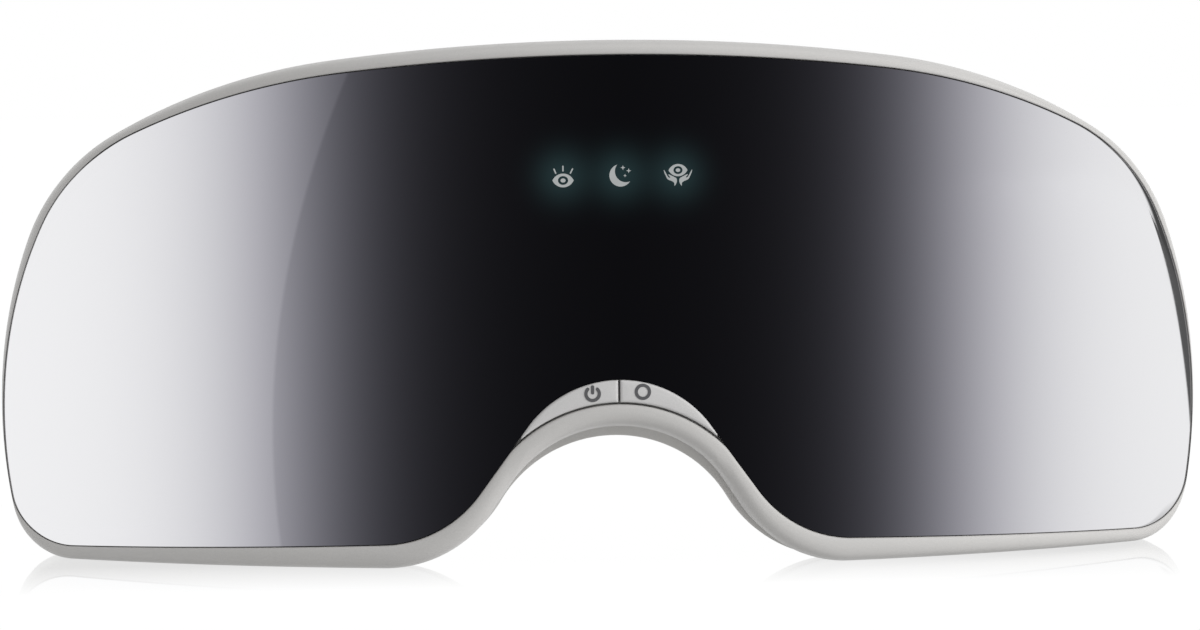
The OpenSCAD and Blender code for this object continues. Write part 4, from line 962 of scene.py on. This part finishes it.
def plates(shapes, surface, thick=0.05, proud=0.02):
    """Thin plates over a surface: an outline, a pair of outlines of a closed band, or a stroke."""
    def lay(line, lift):
        return laid(line, surface(line[:, 0], line[:, 1]) - proud + lift)

    parts = []
    for shape in shapes:
        if isinstance(shape, tuple):
            outer, inner = shape
            parts.append(loft([lay(outer, thick), lay(outer, 0), lay(inner, 0), lay(inner, thick)]))
        elif shape.ndim == 3:
            rungs = [np.r_[lay(pair, 0), lay(pair[::-1], thick)] for pair in shape]
            parts.append(loft(rungs, ring=False, caps=True))
        else:
            parts.append(loft([lay(shape, thick), lay(shape, 0)], ring=False, caps=True))
    return join(*parts)


# %% Symbols on the buttons
POWER_AT, POWER_R, POWER_OPEN, POWER_LINE = (-4.5, 29.6), 1.12, 32, 0.52
RING_AT, RING_OUT, RING_IN = (3.95, 29.82), 1.38, 0.84


def button_face(x, z):
    return bow(x, button_depth(np.abs(x), z))


power = [stroke(arc(*POWER_AT, POWER_R, 90 + POWER_OPEN, 450 - POWER_OPEN, 60), POWER_LINE, 48),
         stroke([(POWER_AT[0], 29.5), (POWER_AT[0], 31.05)], POWER_LINE, 24)]
ring = [(circle(*RING_AT, RING_OUT, 60), circle(*RING_AT, RING_IN, 60))]
for name, shapes, body in (("power_symbol", power, "power_button"), ("ring_symbol", ring, "mode_button")):
    piece(name, *plates(shapes, button_face, 0.08, 0.06), symbol_ink, body, sharp=30)

# %% [markdown]
# Behind the visor an eye, a moon with three small stars and a second eye between two hands are
# lit from behind. On the real mask they are cut-outs of a black film. Here each is a thin plate
# on the visor's face that glows a little unevenly, as a lit film does.

# %% Lit icons
def build_light(r):
    spread = r.noise(r.where(), 0.8, detail=1.0)
    return {"Base Color": r.mix(spread, (0.05, 0.05, 0.05, 1), (0.06, 0.06, 0.06, 1)),
            "Emission Color": r.mix(spread, (0.30, 0.32, 0.32, 1), (0.37, 0.39, 0.39, 1)),
            "Roughness": r.span(spread, 0, 1, 0.5, 0.6)}


def eye(x, z, w, h):
    """A solid almond with a clear ring in it, and the pupil."""
    r = (w * w + h * h) / 4 / h
    a = math.degrees(math.asin(w / 2 / r))
    upper = arc(x, z + h / 2 - r, r, 90 + a, 90 - a, 25)[:-1]
    lower = arc(x, z - h / 2 + r, r, 270 + a, 270 - a, 25)[:-1]
    return [(np.r_[upper, lower], arc(x, z, 0.24 * w, 180, -180 + 360 / 48, 48, 0.86)),
            arc(x, z, 0.12 * w, 0, 351, 40, 0.8)]


def moon(x, z, r):
    inner = arc(x + 0.469 * r, z + 0.358 * r, 0.975 * r, 292.5, 142.4, 30)
    return np.r_[arc(x, z, r, 107.7, 327.3, 40), inner[1:-1]]


def star(x, z, r):
    turns = np.arange(8) * math.pi / 4 + math.pi / 2
    return np.array([(x + k * math.cos(a), z + k * math.sin(a)) for a, k in zip(turns, [r, 0.36 * r] * 4)])


def hand(x, z, side):
    """A cupped hand under the eye, as a closed outline."""
    line = smooth_line([(2.4, 0.09), (2.3, -0.42), (2.09, -0.88), (1.81, -1.44), (1.44, -1.67), (0.98, -1.86),
                        (0.65, -2.14), (0.62, -2.6), (0.42, -2.42), (0.23, -2.0), (0.2, -1.6), (0.33, -1.32),
                        (0.6, -1.16), (1.07, -0.92), (1.62, -0.68), (1.5, -0.98), (1.3, -1.16), (1.45, -1.26),
                        (1.68, -1.1), (1.9, -0.74), (2.1, -0.35)], 3, closed=True)
    return line * (side, 1) + (x, z)


LASHES = ((-1.17, 1.12, -1.53, 2.0), (0, 1.5, 0, 2.48), (1.2, 1.12, 1.64, 2.0))
STARS = ((0.4, 1.28, 0.42), (1.36, 0.76, 0.42), (0.74, -0.06, 0.3))
icon_light = finish("icon_light", build_light, Emission_Strength=0.95, Specular_IOR_Level=0.2)
eye_at, moon_at, hands_at = np.array((-9.04, 65.4)), np.array((0.6, 66.15)), np.array((10.27, 66.9))
lit = eye(*eye_at, 3.55, 2.3) + [stroke([eye_at + row[:2], eye_at + row[2:]], 0.19) for row in LASHES]
lit += [moon(*moon_at, 1.88)] + [star(*(moon_at + row[:2]), row[2]) for row in STARS]
lit += eye(*hands_at, 3.2, 2.05) + [hand(*hands_at, s) for s in (-1, 1)]
piece("lit_icons", *plates(lit, lambda x, z: bow(x)), icon_light, sharp=30)

# %% [markdown]
# The cushion is a ring of soft foam in a coated cover. A scaled copy of its core would look hard,
# so it starts as the CAD's crowned ring on a fine even grid, and Blender's Cloth inflates the
# cover with its base pinned. The movement is capped, so that the swell stays clear of its
# neighbours. Sewing comes afterwards: seams pull the cover in, piping follows its outer foot, and
# stitches follow the inner seam.

# %% Swelling a cover with Cloth
SWELL_FRAMES, SWELL_PRESSURE, SWELL_SCALE = 20, 4.0, 10.0


def swell(points, faces, pinned, cap):
    """Points of the cover after a while under pressure, moved at most cap millimetres."""
    cover = new_object("cover", new_mesh("cover", points * 0.001 * SWELL_SCALE, faces))
    pins = cover.vertex_groups.new(name="pins")
    pins.add(np.asarray(pinned).nonzero()[0].tolist(), 1.0, "REPLACE")
    cloth = cover.modifiers.new("cloth", "CLOTH")
    cloth.settings.vertex_group_mass = "pins"
    cloth.settings.use_pressure = True
    cloth.settings.uniform_pressure_force = SWELL_PRESSURE
    cloth.settings.effector_weights.gravity = 0
    cloth.point_cache.frame_start, cloth.point_cache.frame_end = 1, SWELL_FRAMES
    scene = bpy.context.scene
    for number in range(1, SWELL_FRAMES + 1):
        scene.frame_set(number)
    evaluated = cover.evaluated_get(bpy.context.evaluated_depsgraph_get())
    made = np.array([v.co for v in evaluated.data.vertices], float) * 1000 / SWELL_SCALE
    scene.frame_set(1)
    bpy.data.objects.remove(cover)
    step = made - points
    size = np.linalg.norm(step, axis=1)[:, None]
    print("cover swelled by", round(float(size.max()), 2), "mm before the cap of", cap)
    return points + step * np.minimum(1, cap / np.maximum(size, 1e-9))


def outward(points, faces):
    """Normals at the points of a closed cover, and its faces, all turned outwards."""
    mesh = new_mesh("probe", points, faces)
    tidy(mesh, merge=False)
    made = np.array([v.normal for v in mesh.vertices], float)
    turned = [list(p.vertices) for p in mesh.polygons]
    bpy.data.meshes.remove(mesh)
    return made, turned


def rounded_off(cover):
    """One subdivision, which rounds the cover off."""
    change = cover.modifiers.new("round_off", "SUBSURF")
    change.levels = change.render_levels = 1


# %% Face cushion
CUSHION_FOOT, CUSHION_RISE, SWELL_CAP = 2.6, 11.6, 0.7
SEAM_DEPTH, SEAM_PUFF, SEAM_SPACING = 0.55, 0.12, 46

crown = smooth_line([(0.07, 0), (-0.03, 0.3), (0, 0.6), (0.13, 0.86), (0.33, 0.98), (0.56, 1), (0.79, 0.9),
                     (0.95, 0.66), (1, 0.34), (0.93, 0)], 3)
crown = np.r_[crown, np.c_[np.linspace(0.93, 0.07, 8)[1:-1], np.zeros(6)]]
ring_outer, ring_inner = loop(drawn_in(rear_line, 10), 3)[:, :2], loop(eye_line, 3)[:, :2]
ring_n, crown_n = len(ring_outer), len(crown)
points, faces = loft([on_face(ring_outer + (ring_inner - ring_outer) * f, CUSHION_FOOT + CUSHION_RISE * h)
                      for f, h in crown])
faces = outward(points, faces)[1]
points = swell(points, faces, np.repeat(crown[:, 1] < 0.05, ring_n), SWELL_CAP)
normals = outward(points, faces)[0]

place = np.tile(np.arange(ring_n), crown_n)
share, height = np.repeat(crown[:, 0], ring_n), np.repeat(crown[:, 1], ring_n)
pull = np.zeros(len(place))
for seam in (0, SEAM_SPACING, 2 * SEAM_SPACING,
             ring_n - 2 * SEAM_SPACING, ring_n - SEAM_SPACING, ring_n // 2):
    gap = np.minimum((place - seam) % ring_n, (seam - place) % ring_n)
    pull += SEAM_DEPTH * np.exp(-(gap / 1.1) ** 2) - SEAM_PUFF * np.exp(-((gap - 3.5) / 2.0) ** 2)
pull += 0.5 * np.exp(-((share - 0.86) / 0.06) ** 2) * (height > 0.5)
pull += 0.06 * np.sin(place * 0.9) * np.exp(-((share - 0.8) / 0.15) ** 2) * (height > 0.5)
points = points - normals * (pull * (height > 0.05))[:, None]
cushion = piece("cushion_cover", points, faces, soft_leather, stands_for=("face_cushion",), sharp=None)
rounded_off(cushion)
cushion_grid, cushion_normals = points.reshape(crown_n, ring_n, 3), normals.reshape(crown_n, ring_n, 3)

# %% [markdown]
# Stitches, piping and the head band all follow a path, so Geometry Nodes make them. One tree
# sweeps a profile along a path and stores its length and width as UV, in metres, for the weave.
# The other sets a stitch at an even pitch. Sizes are named inputs of the trees, so one tree serves
# a thick thread and a thin one.

# %% Trees that follow a path
def new_tree(name, inputs):
    tree = bpy.data.node_groups.new(name, "GeometryNodeTree")
    tree.interface.new_socket("Geometry", in_out="OUTPUT", socket_type="NodeSocketGeometry")
    tree.interface.new_socket("Path", in_out="INPUT", socket_type="NodeSocketGeometry")
    for key, (kind, value) in inputs.items():
        made = tree.interface.new_socket(key, in_out="INPUT", socket_type="NodeSocket" + kind)
        if value is not None:
            made.default_value = value
    return Recipe(tree), tree.nodes.new("NodeGroupInput").outputs


def close_tree(r, geometry, material):
    solid = r.add("GeometryNodeRealizeInstances", {"Geometry": geometry}).outputs[0]
    painted = r.add("GeometryNodeSetMaterial", {"Geometry": solid, "Material": material}).outputs[0]
    r.tree.links.new(painted, r.tree.nodes.new("NodeGroupOutput").inputs[0])
    return r.tree


def stitch_tree():
    r, given = new_tree("sewn_stitches", {"Pitch": ("Float", 0.003), "Stitch": ("Float", 0.0022),
                                          "Thread": ("Float", 0.0003), "Material": ("Material", None)})
    curve = r.add("GeometryNodeMeshToCurve", {"Mesh": given["Path"]}).outputs[0]
    spots = r.add("GeometryNodeCurveToPoints", {"Curve": curve, "Length": given["Pitch"]}, mode="LENGTH")
    bead = r.add("GeometryNodeMeshUVSphere", {"Segments": 8, "Rings": 6, "Radius": 0.5}).outputs[0]
    thick = r.times(given["Thread"], 2.0)
    size = r.add("ShaderNodeCombineXYZ", {"X": thick, "Y": thick, "Z": given["Stitch"]}).outputs[0]
    row = r.add("GeometryNodeInstanceOnPoints",
                {"Points": spots.outputs[0], "Instance": bead, "Rotation": spots.outputs["Rotation"],
                 "Scale": size}).outputs[0]
    smooth = r.add("GeometryNodeSetShadeSmooth", {"Geometry": row}).outputs[0]
    return close_tree(r, smooth, given["Material"])


def measured(r, curve):
    """A curve that carries the length at each of its points: outputs 0 and 1."""
    keep = r.add("GeometryNodeCaptureAttribute")
    keep.capture_items.new("FLOAT", "Length")
    r.wire(curve, keep.inputs[0])
    r.wire(r.add("GeometryNodeSplineParameter").outputs["Length"], keep.inputs[1])
    return keep.outputs


def sweep_tree():
    r, given = new_tree("swept_profile", {"Profile": ("Object", None), "Material": ("Material", None)})
    shape = r.add("GeometryNodeObjectInfo", {"Object": given["Profile"]}).outputs["Geometry"]
    rail, shape = (measured(r, r.add("GeometryNodeMeshToCurve", {"Mesh": mesh}).outputs[0])
                   for mesh in (given["Path"], shape))
    upright_rail = r.add("GeometryNodeSetCurveNormal", {"Curve": rail[0]}, mode="Z_UP").outputs[0]
    swept = r.add("GeometryNodeCurveToMesh", {"Curve": upright_rail, "Profile Curve": shape[0],
                                              "Fill Caps": True}).outputs[0]
    place = r.add("ShaderNodeCombineXYZ", {"X": rail[1], "Y": shape[1]}).outputs[0]
    stored = r.add("GeometryNodeStoreNamedAttribute", {"Geometry": swept, "Name": "UVMap", "Value": place},
                   data_type="FLOAT2", domain="CORNER").outputs[0]
    return close_tree(r, stored, given["Material"])


stitches, sweep = stitch_tree(), sweep_tree()
print("trees:", stitches.name, len(stitches.nodes), "nodes;", sweep.name, len(sweep.nodes), "nodes")


# %% Running a tree on a path
def path_object(name, points, closed=False):
    """A chain of edges through points in metres."""
    n = len(points)
    edges = [(i, (i + 1) % n) for i in range(n if closed else n - 1)]
    return new_object(name, new_mesh(name, points, edges=edges))


def grow(name, tree, path, values, stands_for=(), sharp=None):
    """Runs a tree on a path and keeps the result as a plain mesh."""
    change = path.modifiers.new("nodes", "NODES")
    change.node_group = tree
    for item in tree.interface.items_tree:
        if item.in_out == "INPUT" and item.name in values:
            change[item.identifier] = values[item.name]
    path.update_tag()
    bpy.context.view_layer.update()
    made = bpy.data.meshes.new_from_object(path.evaluated_get(bpy.context.evaluated_depsgraph_get()))
    bpy.data.objects.remove(path)
    made.name = name
    return dress(new_object(name, made), values["Material"], stands_for=stands_for, sharp=sharp)


def sew(name, line, pitch, stitch, thread, closed=False):
    """A row of stitches along a line. Its three sizes are in millimetres."""
    grow(name, stitches, path_object("row", to_frame(line), closed),
         {"Pitch": pitch * 0.001, "Stitch": stitch * 0.001, "Thread": thread * 0.001,
          "Material": sewing_thread})


# %% [markdown]
# Piping is a cord in a folded strip, sewn in where the cover meets the plate: it hides that edge.
# It runs along the cushion's own outer foot, so it follows the swollen cover and not the core.

# %% Piping and stitches of the cushion
PIPING_R, FOOT_ROWS, SEAM_SHARE = 0.75, (3, 4), 0.7

a = np.arange(12) * 2 * math.pi / 12
piping_rim = np.c_[PIPING_R * np.cos(a), PIPING_R * np.sin(a), 0 * a]
profile = path_object("profile", piping_rim * 0.001, closed=True)
foot = cushion_grid[FOOT_ROWS[0]] * 0.5 + cushion_grid[FOOT_ROWS[1]] * 0.5
grow("cushion_piping", sweep, path_object("foot_line", to_frame(foot), closed=True),
     {"Profile": profile, "Material": piping_leather})
bpy.data.objects.remove(profile)
high_rows = (crown[:, 1] > 0.8).nonzero()[0]
seam_row = high_rows[np.abs(crown[high_rows, 0] - SEAM_SHARE).argmin()]
sew("cushion_stitches", cushion_grid[seam_row] + cushion_normals[seam_row] * 0.02,
    3.0, 2.3, 0.26, closed=True)

# %% [markdown]
# Over each eye an air bag and a heating film lie under a knitted cover. The cover is a low dome
# on an oval, inflated with Cloth as the cushion was, because the air bag behind it pushes it out
# in the same way. A sewn line runs round its shoulder.

# %% Eye pads
EYE_X, EYE_Z, PAD_A, PAD_B, PAD_CAP = 42, 46.5, 30.0, 17.0, 0.5
LINE_SHARE, LINE_DEPTH, OVAL_POWER = 0.86, 0.45, 2.4
pad_rise = smooth_line([(0.9, 2.7), (0.99, 3.2), (1.01, 4.6), (1.0, 6.4), (0.95, 8.0), (0.84, 9.1),
                        (0.68, 9.75), (0.5, 10.1), (0.3, 10.35), (0.12, 10.45)], 3)


def oval(a, b, n=132):
    t = -np.arange(n) * 2 * math.pi / n
    c, s = np.cos(t), np.sin(t)
    return np.c_[a * np.sign(c) * abs(c) ** (2 / OVAL_POWER), b * np.sign(s) * abs(s) ** (2 / OVAL_POWER)]


for side, word in ((1, "right"), (-1, "left")):
    rings = [on_face(oval(PAD_A * f, PAD_B * f)[::side] + (EYE_X, EYE_Z), h) * (side, 1, 1)
             for f, h in pad_rise]
    points, faces = loft(rings, ring=False)
    n, total = len(rings[0]), len(points)
    points = np.r_[points, [points[:n].mean(0)], [points[-n:].mean(0)]]
    for start, centre in ((0, total), (total - n, total + 1)):
        faces += [(start + i, start + (i + 1) % n, centre) for i in range(n)]
    faces = outward(points, faces)[1]
    points = swell(points, faces, np.r_[np.repeat(pad_rise[:, 1] < 4.4, n), True, False], PAD_CAP)
    normals = outward(points, faces)[0]
    line_row = int(np.abs(pad_rise[:, 0] - LINE_SHARE).argmin())
    rows = np.r_[np.repeat(np.arange(len(rings)), n), 0, len(rings) - 1]
    points = points - normals * (LINE_DEPTH * np.exp(-((rows - line_row) / 0.9) ** 2))[:, None]
    pad = piece(f"eye_pad_{word}", points, faces, pad_knit, stands_for=(f"eye_liner_{word}",), sharp=None)
    rounded_off(pad)
    on_line = slice(line_row * n, (line_row + 1) * n)
    sew(f"pad_stitches_{word}", points[on_line] + normals[on_line] * 0.12, 2.6, 1.9, 0.22, closed=True)

# %% [markdown]
# The head band is a flat elastic that stands on edge. Its path runs straight out of each sleeve,
# bends round the temples and closes behind the head, all in arcs that meet without a kink. A
# slight wave in height keeps it from looking like a steel strip. On the right its end is folded
# back inside and sewn down, and a slider holds both layers.

# %% Head band
BEND_Y, SIDE_R, SIDE_TURN, BAND_T, BAND_W, EDGE_R = 77.97, 70.0, 50.0, 1.6, 30.0, 0.8
TAIL_START, TAIL_END = (2, 5, 6, 1.65), (8, 34, 20, 1.85)
turn = math.radians(SIDE_TURN)
back_r = (STRAP_X - SIDE_R * (1 - math.cos(turn))) / math.cos(turn)
back_y = BEND_Y + (SIDE_R - back_r) * math.sin(turn)


def band_arc(c, r, a0, a1, n):
    a = np.radians(np.linspace(a0, a1, n))
    return np.c_[c[0] + r * np.cos(a), c[1] + r * np.sin(a), np.full(n, float(STRAP_Z))]


def side_arc(a0, a1, n, inside=0.0):
    """n points of the right temple's bend from a0 to a1 degrees, drawn inside the band's middle."""
    return band_arc((STRAP_X - SIDE_R, BEND_Y), SIDE_R - inside, a0, a1, n)


def band_profile():
    """A strip with rounded selvedges that are a little thicker than the middle."""
    z = np.linspace(EDGE_R - BAND_W / 2, BAND_W / 2 - EDGE_R, 25)
    bulge = BAND_T / 2 * (1 - 0.12 * np.exp(-((np.abs(z) - BAND_W / 2 + 3.0) / 1.2) ** 2))
    a = np.linspace(math.pi / 2, -math.pi / 2, 7)[1:-1]
    half = np.r_[np.c_[bulge, z], np.c_[BAND_T / 2 * np.sin(a), BAND_W / 2 - EDGE_R + EDGE_R * np.cos(a)]]
    return path_object("profile", np.c_[np.r_[half, -half], np.zeros(2 * len(half))] * 0.001, closed=True)


straight = [(STRAP_X, y, STRAP_Z) for y in np.linspace(SLEEVE_Y0 + 1.5, BEND_Y, 8)[:-1]]
right_half = np.r_[straight, side_arc(0, SIDE_TURN, 40), band_arc((0, back_y), back_r, SIDE_TURN, 90, 30)[1:]]
band_path = np.r_[right_half, (right_half * (-1, 1, 1))[-2::-1]]
t = np.linspace(0, 1, len(band_path))
band_path[:, 2] += 0.5 * np.sin(math.pi * t) * np.sin(4.6 * math.pi * t + 0.6)
tail_path = np.r_[side_arc(*TAIL_START), side_arc(*TAIL_END)]
profile = band_profile()
for name, line in (("head_band", band_path), ("band_tail", tail_path)):
    grow(name, sweep, path_object("band_path", to_frame(line)),
         {"Profile": profile, "Material": band_elastic},
         stands_for=("head_strap",), sharp=60)
bpy.data.objects.remove(profile)

# %% [markdown]
# The folded end is sewn down with a box of stitches, as on most straps: two rows along the band
# and two across it. They lie on the outer face, just above the weave.

# %% Stitches that hold the folded end
BOX_HALF, BOX_ENDS, BOX_OUT = 12.5, (2.2, 6.2), -0.85

box_z = (STRAP_Z - BOX_HALF, STRAP_Z + BOX_HALF)
rows = [side_arc(*BOX_ENDS, 10, BOX_OUT) * (1, 1, 0) + (0, 0, z) for z in box_z]
for a in BOX_ENDS:
    spot = side_arc(a, a, 1, BOX_OUT)[0]
    rows.append([(spot[0], spot[1], z) for z in np.linspace(*box_z, 10)])
for k, line in enumerate(rows):
    sew(f"band_stitches_{k + 1}", line, 2.8, 2.2, 0.28)

# %% [markdown]
# The sleeves that hold the band in the shell and the slider on the band are moulded frames.
# Both are lofted from rounded rectangles, with their mouths rounded so that they don't cut in.
# Each row of the lists below is one rectangle: how wide it is, and where it lies.

# %% Sleeves and slider
SLIDER_IN, SLIDER_H, SLIDER_WALL, SLIDER_L, SLIDER_AT = 4.5, 30.6, 1.6, 11.0, 27
sleeve_rings = [(3.4, 31.8, 1.4, SLEEVE_Y0), (3.8, 32.2, 1.6, SLEEVE_Y0 + 0.3),
                (3.8, 32.2, 1.6, SLEEVE_Y1 - 0.5), (3.6, 32.0, 1.5, SLEEVE_Y1 - 0.15),
                (3.2, 31.6, 1.3, SLEEVE_Y1), (2.6, 31.0, 1.1, SLEEVE_Y1 - 0.08),
                (2.25, 30.65, 0.9, SLEEVE_Y1 - 0.4), (2.2, 30.6, 0.9, SLEEVE_Y0 + 1.2)]
for side, word in ((1, "right"), (-1, "left")):
    rings = [laid(rounded_loop(w, h, r) + (side * STRAP_X, STRAP_Z), y) for w, h, r, y in sleeve_rings]
    piece(f"band_sleeve_{word}", *loft(rings, ring=False, caps=True), moulded_black,
          stands_for=(f"strap_sleeve_{word}",), sharp=40)

half_l = SLIDER_L / 2
outer_rings = [(SLIDER_WALL - 0.5, 0), (SLIDER_WALL - 0.12, 0.35), (SLIDER_WALL, 0.9)]
inner_rings = [(0.35, 0), (0.05, 0.3), (0, 0.8)]
slider_rings = [(k, y - half_l) for k, y in outer_rings] + [(k, half_l - y) for k, y in outer_rings[::-1]]
slider_rings += [(k, half_l - y) for k, y in inner_rings] + [(k, y - half_l) for k, y in inner_rings[::-1]]
rings = [laid(rounded_loop(SLIDER_IN + 2 * k, SLIDER_H + 2 * k, 0.7 + k), y) for k, y in slider_rings]
points, faces = loft(rings)
points = points + (SLIDER_IN / 2 + SIDE_R + BAND_T / 2 + 0.4 - SLIDER_IN, 0, 0)
c, s = math.cos(math.radians(SLIDER_AT)), math.sin(math.radians(SLIDER_AT))
points = np.c_[points[:, 0] * c - points[:, 1] * s, points[:, 0] * s + points[:, 1] * c, points[:, 2]]
points = points + (STRAP_X - SIDE_R, BEND_Y, STRAP_Z)
slider = piece("band_slider", points, faces, moulded_black, stands_for=("strap_slider",), sharp=40)
corner = np.array([v.co for v in slider.data.vertices]).min(0)
off = [round((a - b) * 1000, 2) for a, b in zip(corner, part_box("strap_slider")[0])]
print("slider off its CAD box by", off)

# %% [markdown]
# The nodes that stay as the CAD made them are the inner works: frame, boards, battery, pump,
# valve, motors, tubes, bags and films. They get the finish of the real thing too, since the
# part may be opened or cut away later. A board has rows of traces under its lacquer, a battery
# pouch has creases, and a heating film shows its printed loops.

# %% Inner works
def build_board(r):
    spot = r.axes(r.where())
    bent = r.noise(r.where(scale=0.2), detail=0.0)
    row = r.math("FRACT", r.plus(r.times(spot[2], 0.8), r.times(bent, 0.8)))
    trace = r.math("LESS_THAN", r.size(r.minus(row, 0.5)), 0.16)
    grain = use(r, grain_group, Scale=8.0, Depth=1.0)
    return {"Base Color": r.mix(trace, (0.006, 0.085, 0.035, 1), (0.018, 0.16, 0.07, 1)),
            "Roughness": r.span(grain["Pits"], 0, 1, 0.28, 0.4), "bump": (trace, 0.03)}


def build_foil_crease_shade(r):
    crease = r.cells(r.where(scale=0.25), 1.0, "DISTANCE_TO_EDGE")
    # the pouch is darker along its creases: painted shade in the folds
    return {"Base Color": r.mix(crease, (0.42, 0.43, 0.45, 1), (0.56, 0.57, 0.59, 1)),
            "Roughness": r.span(crease, 0, 0.5, 0.5, 0.3), "bump": (crease, 0.15)}


def build_heater(r):
    wave = r.math("SINE", r.times(r.axes(r.where())[0], 1.9))
    line = r.math("LESS_THAN", r.size(wave), 0.35)
    return {"Base Color": r.mix(line, (0.36, 0.16, 0.035, 1), (0.62, 0.34, 0.16, 1)),
            "Roughness": r.span(wave, -1, 1, 0.3, 0.4), "bump": (line, 0.03)}


FINISHES = {
    gasket_rubber: ("lens_gasket",),
    frame_plastic: ("inner_frame", "pump_head", "button_bracket"),
    plate_lining: ("face_plate",),
    moulded_black: ("icon_mask", "power_plunger", "mode_plunger"),
    steel: ("button_switches", "usb_socket", "pump_motor", "air_valve", "valve_plunger", "vibrator_left",
            "vibrator_right", "housing_screws", "frame_screws", "board_screws"),
    brass: ("pump_crank", "vibrator_weight_left", "vibrator_weight_right"),
    finish("board_green", build_board, Coat_Weight=0.3): (
        "button_board", "indicator_board", "main_board", "usb_board"),
    finish("pouch_foil", build_foil_crease_shade, Metallic=0.9): ("battery",),
    finish("heater_film", build_heater): ("heater_left", "heater_right"),
    moulded("bag_film", (0.05, 0.05, 0.054), 0.4, 1.2, 0.05): ("airbag_left", "airbag_right"),
    moulded("hose_silicone", (0.66, 0.69, 0.72), 0.4, 2.0, 0.02, Transmission_Weight=0.3): ("air_tubes",),
    moulded("chip_epoxy", (0.016, 0.016, 0.018), 0.6, 9.0, 0.02): ("main_components",),
    moulded("pad_foam", (0.05, 0.05, 0.055), 0.95, 1.1, 0.2): ("battery_pad",),
    moulded("diffuser_film", (0.72, 0.76, 0.78), 0.4, 6.0, 0.01): ("icon_film",),
    moulded("led_lens", (0.75, 0.78, 0.55), 0.2, 3.0, 0.01): ("indicator_leds",)}
painted = set()
for material, names in FINISHES.items():
    for name in names:
        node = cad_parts[name]
        node.data.materials.clear()
        node.data.materials.append(material)
        painted.add(name)
bare = sorted(name for name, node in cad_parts.items() if name not in painted and not node.hide_render)
print("CAD nodes painted:", len(painted), "- still bare:", bare)
